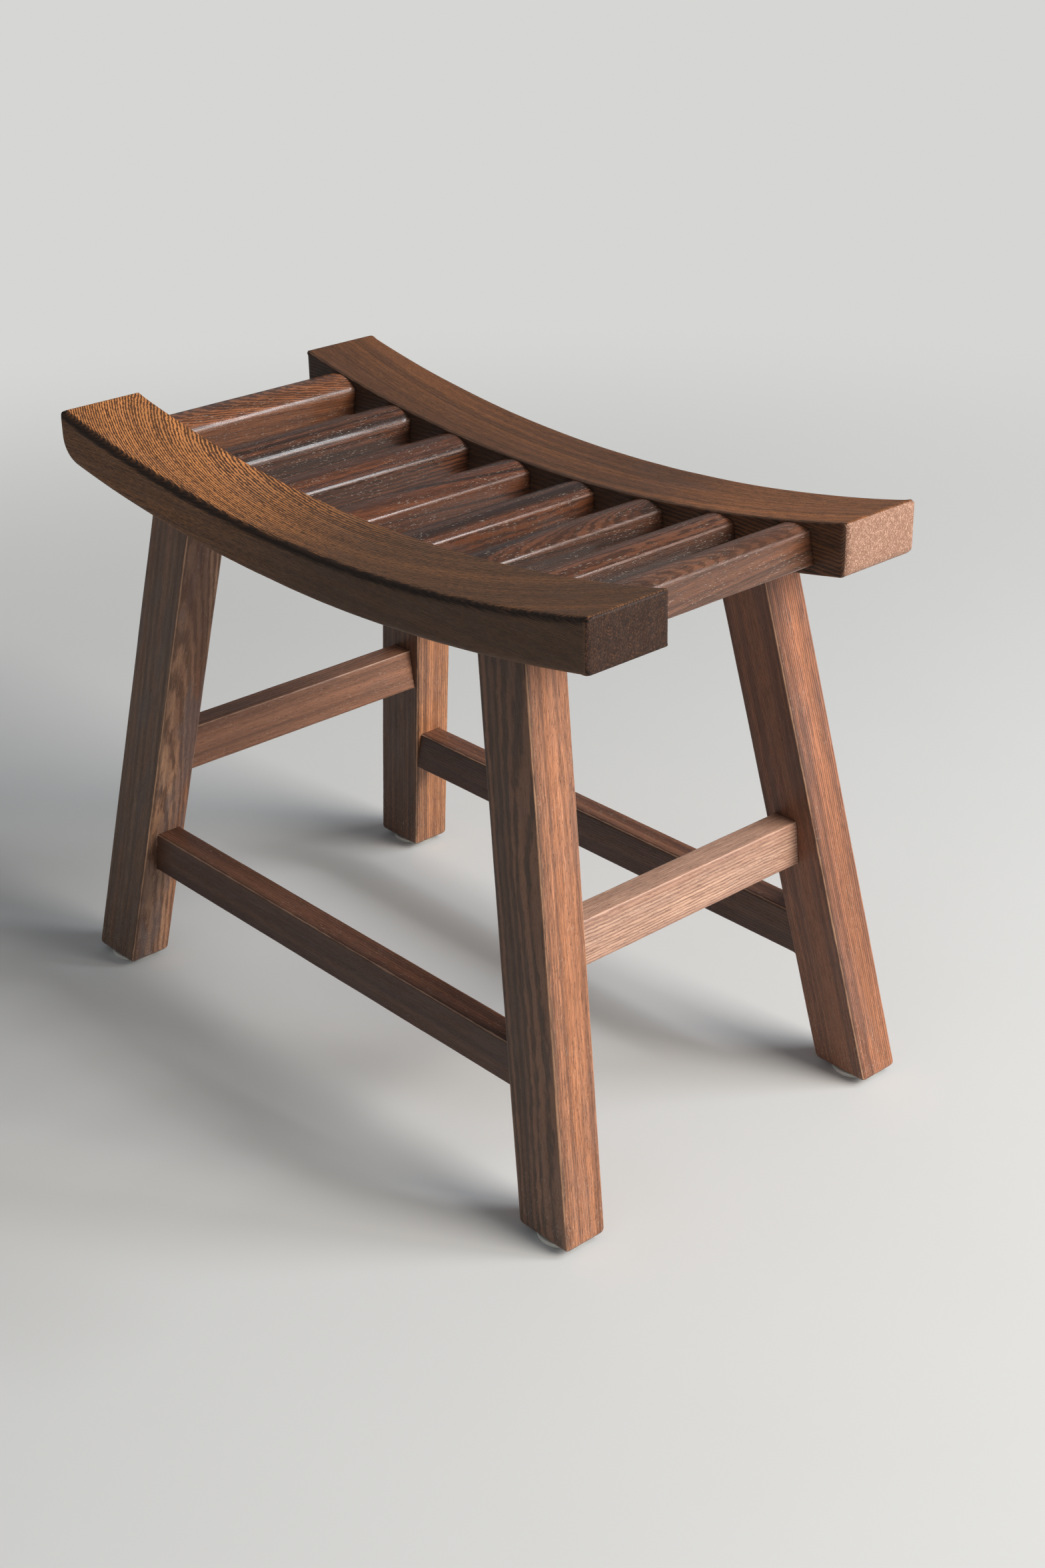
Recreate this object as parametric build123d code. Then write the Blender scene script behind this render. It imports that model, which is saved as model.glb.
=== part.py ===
from build123d import *

import os
from math import degrees, radians, sqrt, tan

# Slatted saddle stool in dark hardwood. Lengths are in millimetres.
# Two rails, sawn to a curve, carry eight domed slats between them. Four legs, splayed
# both ways, are tenoned into the rails' undersides, and four stretchers tie the legs.
# The origin is on the floor under the middle of the seat. +X runs along the rails,
# -Y is the front and +Z is up.

# Seat: the slats lie along the rails' top arc, whose centre line is parallel to Y
seat_height = 308.5
saddle_radius = 945.0

# Rails: the height is at the middle, the underside's arc is a flatter one, and the low
# corner of the front rail's left end is worked rounder than those of the other ends
rail_length = 420.0
rail_width = 51.0
rail_height = 25.0
rail_gap = 117.0
underside_radius = 1065.0
rail_outer_round = 4.5
rail_inner_chamfer = 0.9
rail_end_round = 1.5
front_rail_left_corner_round = 12.0
front_rail_right_corner_round = 1.5
back_rail_corner_round = 4.0

# Slats: the end margin is from the middle of the last slat to the rail's end, and the
# drop is from the rails' top arc to a slat's two upper edges
slat_count = 8
slat_end_margin = 35.0
slat_width = 25.0
slat_side_height = 17.0
slat_crown = 3.0
slat_drop = 4.6
slat_edge_round = 0.8
slat_shoulder = 4.0

# Legs: the overhangs are from a leg's outer faces to the rail's end and outer face,
# where the leg meets the rail's underside
leg_along = 35.0
leg_across = 26.0
splay_along = radians(11.2)
splay_across = radians(6.0)
rail_end_overhang = 60.0
rail_side_overhang = 18.0
leg_edge_round = 1.5
foot_round = 3.5
leg_shoulder_along = 7.0
leg_shoulder_across = 6.0
leg_tenon_cover = 9.0

# Stretchers: the setbacks are from a leg's outer face to the stretcher's, half way up it
long_stretcher_low = 65.5
long_stretcher_height = 25.0
long_stretcher_thickness = 16.0
long_stretcher_setback = 7.8
short_stretcher_low = 125.7
short_stretcher_height = 26.0
short_stretcher_thickness = 16.0
short_stretcher_setback = 14.4
stretcher_edge_round = 1.4
stretcher_shoulder = 4.0
stretcher_tenon_share = 0.6

# Glide pads under the feet
pad_thickness = 2.5
pad_diameter = 25.0

# Fits: clearance on each side of a tenon, glue pocket at its end, the wood left between
# a slat's mortise and a leg's, and how far cuts run past the wood
tenon_clearance = 0.1
glue_pocket = 1.0
mortise_web = 2.5
cut_overrun = 10.0

# Derived sizes
slat_pitch = (rail_length - 2 * slat_end_margin) / (slat_count - 1)
rail_inner_face = rail_gap / 2
rail_outer_face = rail_inner_face + rail_width
saddle_centre_height = seat_height + saddle_radius
underside_centre_height = seat_height - rail_height + underside_radius
leg_outer_x = rail_length / 2 - rail_end_overhang
leg_outer_y = rail_outer_face - rail_side_overhang
leg_tenon_along = leg_along - 2 * leg_shoulder_along
leg_tenon_across = leg_across - 2 * leg_shoulder_across


def saddle_height(x):
    """Height of the rails' top at x."""
    return saddle_centre_height - sqrt(saddle_radius**2 - x**2)


def underside_height(x):
    """Height of the rails' underside at x."""
    return underside_centre_height - sqrt(underside_radius**2 - x**2)


def cylinder_along_y(radius, centre_height):
    """Cylinder across the whole stool about a line parallel to Y."""
    length = 2 * (rail_outer_face + cut_overrun)
    return Pos(0, 0, centre_height) * Rot(90, 0, 0) * Cylinder(radius, length)


leg_entry_height = underside_height(leg_outer_x)
leg_rail_top = saddle_height(leg_outer_x)


def leg_centre(height):
    """Centre of the back right leg's level section at this height."""
    fall = leg_entry_height - height
    x = leg_outer_x - leg_along / 2 + fall * tan(splay_along)
    y = leg_outer_y - leg_across / 2 + fall * tan(splay_across)
    return Vector(x, y, height)


def leg_inner_x(height):
    """Half the clear length between two legs along X at this height."""
    return leg_centre(height).X - leg_along / 2


def leg_inner_y(height):
    """Half the clear length between two legs along Y at this height."""
    return leg_centre(height).Y - leg_across / 2


def leg_prism(section, low, high):
    """Bar with this level section that follows the back right leg's slope."""
    start, end = leg_centre(low), leg_centre(high)
    return Solid.extrude((Pos(start) * section).face(), end - start)


def leg_tenon(clearance=0.0, pocket=0.0):
    """Tenon on a leg's top, stopped short of the rail's top, or its mortise."""
    section = Rectangle(leg_tenon_along + 2 * clearance, leg_tenon_across + 2 * clearance)
    bar = leg_prism(section, underside_height(0) - cut_overrun, leg_rail_top)
    return bar - cylinder_along_y(saddle_radius + leg_tenon_cover - pocket, saddle_centre_height)


# The slat tenons stop at the mortise web, beside the leg tenon's upper end
leg_tenon_inner_y = leg_centre(leg_rail_top).Y - leg_tenon_across / 2
slat_tenon_length = leg_tenon_inner_y - rail_inner_face - mortise_web - glue_pocket


def place_on_arc(shape, number):
    """A shape made at the middle of the seat, moved to the place of this slat."""
    steps = number - (slat_count + 1) / 2
    centre_line = Axis((0, 0, saddle_centre_height), (0, 1, 0))
    return shape.rotate(centre_line, -degrees(steps * slat_pitch / saddle_radius))


def slat_tenons(clearance=0.0, pocket=0.0):
    """The bar through a slat whose ends are its two tenons, or their mortises."""
    middle = seat_height - slat_drop - slat_side_height / 2
    size_x = slat_width - 2 * slat_shoulder + 2 * clearance
    size_y = rail_gap + 2 * (slat_tenon_length + pocket)
    size_z = slat_side_height - 2 * slat_shoulder + 2 * clearance
    return Pos(0, 0, middle) * Box(size_x, size_y, size_z)


def make_slat(number):
    """Slat with a domed top and a stub tenon at each end."""
    half = slat_width / 2
    top = seat_height - slat_drop
    low = top - slat_side_height
    outline = ThreePointArc((-half, top), (0, top + slat_crown), (half, top))
    outline += Polyline((half, top), (half, low), (-half, low), (-half, top))
    section = Plane.XZ * make_face(outline)
    body = Solid.extrude(section.face(), (0, rail_gap, 0)).translate((0, -rail_inner_face, 0))
    body = fillet(body.edges().filter_by(Axis.Y), slat_edge_round)
    return place_on_arc(body + slat_tenons(), number)


def rail_side(half):
    """Side view of a rail that reaches this far each way from the middle."""
    top, low = saddle_height(half), underside_height(half)
    outline = ThreePointArc((-half, top), (0, saddle_height(0)), (half, top))
    outline += Line((half, top), (half, low))
    outline += ThreePointArc((half, low), (0, underside_height(0)), (-half, low))
    outline += Line((-half, low), (-half, top))
    return make_face(outline)


def make_rail(left_corner_round, right_corner_round):
    """Rail at the back: long edges eased, then cut to length, then mortised."""
    across = (0, rail_width, 0)
    long_side = Plane.XZ * rail_side(rail_length / 2 + cut_overrun)
    bar = Solid.extrude(long_side.face(), across).translate((0, rail_inner_face, 0))
    arcs = bar.edges().filter_by(GeomType.CIRCLE).group_by(Axis.Y)
    bar = fillet(arcs[-1], rail_outer_round)
    arcs = bar.edges().filter_by(GeomType.CIRCLE).group_by(Axis.Y)
    bar = chamfer(arcs[0], rail_inner_chamfer)

    side = rail_side(rail_length / 2)
    side = fillet(side.vertices().group_by(Axis.Y)[-1], rail_end_round)
    for end_x, corner_round in (
        (-rail_length / 2, left_corner_round),
        (rail_length / 2, right_corner_round),
    ):
        low_corner = side.vertices().sort_by_distance((end_x, underside_height(end_x)))[0]
        side = fillet(low_corner, corner_round)
    rail = bar & Solid.extrude((Plane.XZ * side).face(), (0, rail_outer_face + cut_overrun, 0))

    middle = rail_inner_face + rail_width / 2
    plan = Pos(0, middle, 0) * RectangleRounded(rail_length, rail_width, rail_end_round)
    over_all = (0, 0, saddle_height(rail_length / 2) + cut_overrun)
    rail &= Solid.extrude(plan.face(), over_all)

    mortise = leg_tenon(tenon_clearance, glue_pocket)
    rail = rail - mortise - mirror(mortise, about=Plane.YZ)
    for number in range(1, slat_count + 1):
        rail -= place_on_arc(slat_tenons(tenon_clearance, glue_pocket), number)
    return rail


def stretcher_bar(inner, low, height, thickness, reach):
    """Bar along X between two splayed legs, running this far into each of them."""
    high = low + height
    corners = [(inner(low) + reach, low), (inner(high) + reach, high)]
    corners += [(-x, z) for x, z in reversed(corners)]
    side = Plane.XZ * make_face(Polyline(*corners, close=True))
    return Solid.extrude(side.face(), (0, thickness, 0)).translate((0, -thickness / 2, 0))


def stretcher_tenons(inner, low, height, thickness, length, clearance=0.0):
    """The bar through a stretcher whose ends are its two tenons, or their mortises."""
    inset = stretcher_shoulder - clearance
    return stretcher_bar(inner, low + inset, height - 2 * inset, thickness - 2 * inset, length)


def long_place(shape):
    """A shape made along X at the middle, moved to the back long stretcher."""
    middle = long_stretcher_low + long_stretcher_height / 2
    outer_y = leg_centre(middle).Y + leg_across / 2 - long_stretcher_setback
    return Pos(0, outer_y - long_stretcher_thickness / 2, 0) * shape


def short_place(shape):
    """A shape made along X at the middle, moved to the right short stretcher."""
    middle = short_stretcher_low + short_stretcher_height / 2
    outer_x = leg_centre(middle).X + leg_along / 2 - short_stretcher_setback
    return Pos(outer_x - short_stretcher_thickness / 2, 0, 0) * Rot(0, 0, 90) * shape


long_sizes = (leg_inner_x, long_stretcher_low, long_stretcher_height, long_stretcher_thickness)
short_sizes = (leg_inner_y, short_stretcher_low, short_stretcher_height, short_stretcher_thickness)
long_tenon_length = stretcher_tenon_share * leg_along
short_tenon_length = stretcher_tenon_share * leg_across


def make_stretcher(sizes, tenon_length):
    """Stretcher along X with ends cut to the legs' slope and a tenon on each."""
    bar = stretcher_bar(*sizes, 0)
    bar = fillet(bar.edges().filter_by(Axis.X), stretcher_edge_round)
    return bar + stretcher_tenons(*sizes, tenon_length)


def make_leg():
    """Back right leg: splayed both ways, scribed to the rail, tenoned and mortised."""
    blank = leg_prism(Rectangle(leg_along, leg_across), pad_thickness, leg_rail_top)
    blank = fillet(blank.faces().sort_by(Axis.Z)[0].edges(), foot_round)
    section = RectangleRounded(leg_along, leg_across, leg_edge_round)
    leg = blank & leg_prism(section, pad_thickness, leg_rail_top)
    leg -= cylinder_along_y(underside_radius, underside_centre_height)
    leg += leg_tenon()
    for place, sizes, tenon_length in (
        (long_place, long_sizes, long_tenon_length),
        (short_place, short_sizes, short_tenon_length),
    ):
        leg -= place(stretcher_tenons(*sizes, tenon_length + glue_pocket, tenon_clearance))
    return leg


def make_pad():
    """Glide pad under the back right foot."""
    pad = Cylinder(pad_diameter / 2, pad_thickness, align=(Align.CENTER, Align.CENTER, Align.MIN))
    foot = leg_centre(pad_thickness)
    return Pos(foot.X, foot.Y, 0) * pad


def four_corners(name, shape):
    """A back right piece and its mirror images at the other three corners."""
    nodes = {}
    for side, across in (("right", shape), ("left", mirror(shape, about=Plane.YZ))):
        nodes[f"{name}_back_{side}"] = across
        nodes[f"{name}_front_{side}"] = mirror(across, about=Plane.XZ)
    return nodes


def part_nodes():
    """Every piece of the stool by its node name."""
    back_rail = make_rail(back_rail_corner_round, back_rail_corner_round)
    front_rail = make_rail(front_rail_left_corner_round, front_rail_right_corner_round)
    long_stretcher = long_place(make_stretcher(long_sizes, long_tenon_length))
    short_stretcher = short_place(make_stretcher(short_sizes, short_tenon_length))
    nodes = {"back_rail": back_rail, "front_rail": mirror(front_rail, about=Plane.XZ)}
    for number in range(1, slat_count + 1):
        nodes[f"slat_{number}"] = make_slat(number)
    nodes["long_stretcher_back"] = long_stretcher
    nodes["long_stretcher_front"] = mirror(long_stretcher, about=Plane.XZ)
    nodes["short_stretcher_right"] = short_stretcher
    nodes["short_stretcher_left"] = mirror(short_stretcher, about=Plane.YZ)
    nodes.update(four_corners("leg", make_leg()))
    nodes.update(four_corners("pad", make_pad()))
    return nodes


os.makedirs("parts", exist_ok=True)
for name, shape in part_nodes().items():
    export_step(shape, f"parts/{name}.step")
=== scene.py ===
"""Slatted saddle stool in dark, satin-lacquered hardwood, dressed around its frame.

Every bar of the stool is cut from one Geometry Nodes tree, the timber bar, and then
sawn to its curve, tilted or splayed to the place that the frame gives it. Lengths are
in metres. +X runs along the rails, -Y is the front and +Z is up.
"""

import logging
import math
from dataclasses import asdict, dataclass, field, replace
from enum import Enum
from typing import NamedTuple, Optional, Union

import bpy
import numpy as np
from mathutils import Matrix, Vector


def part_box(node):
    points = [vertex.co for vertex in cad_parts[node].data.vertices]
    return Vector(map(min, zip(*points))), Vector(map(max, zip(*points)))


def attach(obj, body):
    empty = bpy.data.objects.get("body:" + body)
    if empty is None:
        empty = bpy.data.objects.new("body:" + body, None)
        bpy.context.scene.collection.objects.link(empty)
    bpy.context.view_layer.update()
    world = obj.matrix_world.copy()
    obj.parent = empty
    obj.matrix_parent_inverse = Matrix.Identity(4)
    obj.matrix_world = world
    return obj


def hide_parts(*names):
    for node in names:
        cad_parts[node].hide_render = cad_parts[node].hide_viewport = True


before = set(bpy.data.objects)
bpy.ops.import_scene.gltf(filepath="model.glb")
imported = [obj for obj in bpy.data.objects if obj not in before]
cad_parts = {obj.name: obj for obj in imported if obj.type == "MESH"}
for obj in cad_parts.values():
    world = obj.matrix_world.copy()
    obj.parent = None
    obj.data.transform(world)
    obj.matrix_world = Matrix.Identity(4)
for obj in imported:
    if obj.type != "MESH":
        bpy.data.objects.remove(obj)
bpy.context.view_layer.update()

log = logging.getLogger("saddle_stool")

BODY = "root"
TINY = 1e-6
TETRAHEDRA_PER_BOX = 6

Colour = tuple[float, float, float]
Points = np.ndarray


SCREEN_FULL = 255.0
SCREEN_KNEE = 0.04045
SCREEN_SLOPE = 12.92
SCREEN_OFFSET = 0.055
SCREEN_POWER = 2.4


def srgb(red: int, green: int, blue: int) -> Colour:
    """Linear colour of a screen colour.

    Args:
        red: Red on the screen, from 0 to 255.
        green: Green, the same way.
        blue: Blue, the same way.

    Returns:
        The linear colour.
    """
    def linear(level: int) -> float:
        """Linear value of one channel.

        Args:
            level: The channel on the screen.

        Returns:
            Its linear value, from 0 to 1.
        """
        value = level / SCREEN_FULL
        if value <= SCREEN_KNEE:
            return value / SCREEN_SLOPE
        return ((value + SCREEN_OFFSET) / (1 + SCREEN_OFFSET)) ** SCREEN_POWER
    return linear(red), linear(green), linear(blue)


class Slot(Enum):
    """The material slots of the stool's record."""

    RAIL = "rail_wood"
    SLAT = "slat_wood"
    LEG = "leg_wood"
    STRETCHER = "stretcher_wood"
    PAD = "glide_pad"


class Signal:
    """A value that runs through a node tree. Arithmetic on it adds Math nodes."""

    low_socket = 2
    high_socket = 3

    def __init__(self, bench: "Bench", socket: bpy.types.NodeSocket) -> None:
        """Keeps the bench and the socket that puts the value out."""
        self.bench = bench
        self.socket = socket

    def math(self, operation: str, *others: "Feed", clamp: bool = False) -> "Signal":
        """Puts this value and the others through one Math node.

        Args:
            operation: What the node does.
            others: The values that follow this one.
            clamp: Whether the result is kept between 0 and 1.

        Returns:
            The result.
        """
        node = self.bench.add("ShaderNodeMath", operation=operation, use_clamp=clamp)
        for socket, feed in zip(node.inputs, (self, *others)):
            self.bench.connect(socket, feed)
        return Signal(self.bench, node.outputs[0])

    def __add__(self, other: "Feed") -> "Signal":
        """Sum."""
        return self.math("ADD", other)

    def __sub__(self, other: "Feed") -> "Signal":
        """Difference."""
        return self.math("SUBTRACT", other)

    def __mul__(self, other: "Feed") -> "Signal":
        """Product."""
        return self.math("MULTIPLY", other)

    def __truediv__(self, other: "Feed") -> "Signal":
        """Quotient."""
        return self.math("DIVIDE", other)

    def under(self, whole: float) -> "Signal":
        """What is left of the whole."""
        return self.math("MULTIPLY", -1.0) + whole

    def size(self) -> "Signal":
        """Absolute value."""
        return self.math("ABSOLUTE")

    def root(self) -> "Signal":
        """Square root."""
        return self.math("SQRT")

    def sign(self) -> "Signal":
        """-1, 0 or 1."""
        return self.math("SIGN")

    def positive(self) -> "Signal":
        """1 where the value is over 0, and 0 elsewhere."""
        return self.math("GREATER_THAN", 0.0)

    def least(self, other: "Feed") -> "Signal":
        """Smaller of the two."""
        return self.math("MINIMUM", other)

    def most(self, other: "Feed") -> "Signal":
        """Larger of the two."""
        return self.math("MAXIMUM", other)

    def power(self, exponent: "Feed") -> "Signal":
        """This value raised to the exponent."""
        return self.math("POWER", exponent)

    def clamped(self) -> "Signal":
        """Kept between 0 and 1."""
        return self.math("ADD", 0.0, clamp=True)

    def ramp(self, start: "Feed", end: "Feed") -> "Signal":
        """Smooth step from 0 at the start to 1 at the end."""
        feeds = {"Value": self, "From Min": start, "From Max": end}
        return self.bench.signal("ShaderNodeMapRange", "Result", feeds, interpolation_type="SMOOTHSTEP")

    def between(self, low: "Feed", high: "Feed") -> "Signal":
        """Value from low to high as this one goes from 0 to 1."""
        feeds = {0: self, self.low_socket: low, self.high_socket: high}
        return self.bench.signal("ShaderNodeMix", 0, feeds, data_type="FLOAT")


Feed = Union[Signal, bpy.types.NodeSocket, float, int, tuple, None]


class Bench:
    """A node tree while it is being built."""

    columns = 12
    column_step = 190.0
    row_step = 240.0
    under_socket = 6
    over_socket = 7
    blended_socket = 2

    def __init__(self, tree: bpy.types.NodeTree) -> None:
        """Starts on a tree, with nothing laid out yet."""
        self.tree = tree
        self.count = 0

    @classmethod
    def group(cls, kind: str, name: str, takes: dict[str, tuple], gives: dict[str, str]) -> "Bench":
        """Starts a node group.

        Args:
            kind: The tree's type.
            name: The group's name.
            takes: Each input's socket type and, where it has one, its default.
            gives: Each output's socket type.

        Returns:
            The bench, with the inputs in taken and the end node in exit.
        """
        bench = cls(bpy.data.node_groups.new(name, kind))
        for label, (socket_type, *default) in takes.items():
            socket = bench.tree.interface.new_socket(label, in_out="INPUT", socket_type=socket_type)
            if default:
                socket.default_value = default[0]
        for label, socket_type in gives.items():
            bench.tree.interface.new_socket(label, in_out="OUTPUT", socket_type=socket_type)
        entry = bench.add("NodeGroupInput")
        bench.taken = {label: Signal(bench, entry.outputs[label]) for label in takes}
        bench.exit = bench.add("NodeGroupOutput")
        return bench

    def give(self, results: dict[str, "Feed"]) -> bpy.types.NodeTree:
        """Ends a node group.

        Args:
            results: What goes to each output.

        Returns:
            The finished group.
        """
        for label, result in results.items():
            self.connect(self.exit.inputs[label], result)
        return self.tree

    def add(self, kind: str, feeds: Optional[dict] = None, **settings: object) -> bpy.types.Node:
        """Adds a node.

        Args:
            kind: The node's type.
            feeds: What goes into its sockets, by name or number.
            settings: The node's own properties.

        Returns:
            The new node.
        """
        node = self.tree.nodes.new(kind)
        row, column = divmod(self.count, self.columns)
        node.location = (column * self.column_step, -row * self.row_step)
        self.count += 1
        for name, setting in settings.items():
            setattr(node, name, setting)
        for socket, feed in (feeds or {}).items():
            self.connect(node.inputs[socket], feed)
        return node

    def connect(self, socket: bpy.types.NodeSocket, feed: Feed) -> None:
        """Feeds a socket.

        Args:
            socket: The input.
            feed: A signal, another socket or a constant. A colour gets full cover.
        """
        feed = feed.socket if isinstance(feed, Signal) else feed
        if isinstance(feed, bpy.types.NodeSocket):
            self.tree.links.new(feed, socket)
        elif feed is not None:
            socket.default_value = (*feed, 1.0) if socket.type == "RGBA" else feed

    def signal(
        self, kind: str, output: Union[str, int], feeds: Optional[dict] = None, **settings: object
    ) -> Signal:
        """Adds a node and gives the signal of one of its outputs."""
        return Signal(self, self.add(kind, feeds, **settings).outputs[output])

    def split(self, vector: Feed) -> tuple[Signal, Signal, Signal]:
        """The three numbers of a vector."""
        node = self.add("ShaderNodeSeparateXYZ", {0: vector})
        return tuple(Signal(self, socket) for socket in node.outputs)

    def join(self, x: Feed, y: Feed, z: Feed) -> Signal:
        """The vector of three numbers."""
        return self.signal("ShaderNodeCombineXYZ", "Vector", {0: x, 1: y, 2: z})

    def drawn_out(self, place: tuple[Signal, ...], seed: Feed, pace: tuple[float, float]) -> Signal:
        """A place for noise whose patches are drawn out along the board.

        Args:
            place: Place along, across and up the board.
            seed: Shift of the noise.
            pace: Patches per metre along the board, and in the other two directions.

        Returns:
            The place in patches.
        """
        x, y, z = place
        along, across = pace
        return self.join(x * along + seed, y * across, z * across)

    def noise(self, place: Feed, detail: float = 2.0, roughness: float = 0.5) -> Signal:
        """Soft noise from 0 to 1 whose patches are about one unit across."""
        feeds = {"Vector": place, "Scale": 1.0, "Detail": detail, "Roughness": roughness}
        return self.signal("ShaderNodeTexNoise", "Fac", feeds)

    def lot(self, number: Feed) -> Signal:
        """A random value from 0 to 1 for each number."""
        return self.signal("ShaderNodeTexWhiteNoise", "Value", {"W": number}, noise_dimensions="1D")

    def blend(self, share: Feed, under: Feed, over: Feed) -> Signal:
        """Lays one colour over another by a share."""
        feeds = {0: share, self.under_socket: under, self.over_socket: over}
        return self.signal("ShaderNodeMix", self.blended_socket, feeds, data_type="RGBA")


def empty_bench(owner: Union[bpy.types.Material, bpy.types.World]) -> Bench:
    """Empties the node tree of a material or world.

    Args:
        owner: The material or world.

    Returns:
        The bench to wire it on.
    """
    owner.use_nodes = True
    owner.node_tree.nodes.clear()
    return Bench(owner.node_tree)


FLOAT = "NodeSocketFloat"
COUNT = "NodeSocketInt"
VECTOR = "NodeSocketVector"
GEOMETRY = "NodeSocketGeometry"
MATERIAL = "NodeSocketMaterial"


class CuttingTree:
    """A Geometry Nodes tree that makes one kind of piece about the origin."""

    name = ""
    takes: dict[str, tuple] = {}

    def __init__(self) -> None:
        """Builds the tree, ending in real geometry with its material."""
        self.bench = Bench.group("GeometryNodeTree", self.name, self.takes, {"Geometry": GEOMETRY})
        self.taken = self.bench.taken
        smooth = self.bench.add("GeometryNodeSetShadeSmooth", {"Geometry": self._shape()})
        real = self.bench.add("GeometryNodeRealizeInstances", {"Geometry": smooth.outputs[0]})
        feeds = {"Geometry": real.outputs[0], "Material": self.taken["Material"]}
        dressed = self.bench.add("GeometryNodeSetMaterial", feeds)
        self.bench.give({"Geometry": dressed.outputs[0]})

    def _shape(self) -> Feed:
        """Wires the piece's shape and gives its geometry."""
        raise NotImplementedError

    def _position(self) -> tuple[Signal, Signal, Signal]:
        """Place of each point along, across and up."""
        return self.bench.split(self.bench.add("GeometryNodeInputPosition").outputs[0])

    def run(self, name: str, values: dict[str, object]) -> bpy.types.Mesh:
        """Evaluates the tree once and gives its result as a plain mesh.

        Args:
            name: The new mesh's name.
            values: The tree's inputs by name.

        Returns:
            The mesh, with its attributes and its material.
        """
        carrier = bpy.data.objects.new(name, bpy.data.meshes.new(name))
        bpy.context.scene.collection.objects.link(carrier)
        modifier = carrier.modifiers.new(self.name, "NODES")
        modifier.node_group = self.bench.tree
        for item in self.bench.tree.interface.items_tree:
            if item.item_type == "SOCKET" and item.in_out == "INPUT" and item.name in values:
                modifier[item.identifier] = values[item.name]
        graph = bpy.context.evaluated_depsgraph_get()
        mesh = bpy.data.meshes.new_from_object(carrier.evaluated_get(graph), depsgraph=graph)
        bpy.data.objects.remove(carrier)
        mesh.name = name
        return mesh


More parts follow.
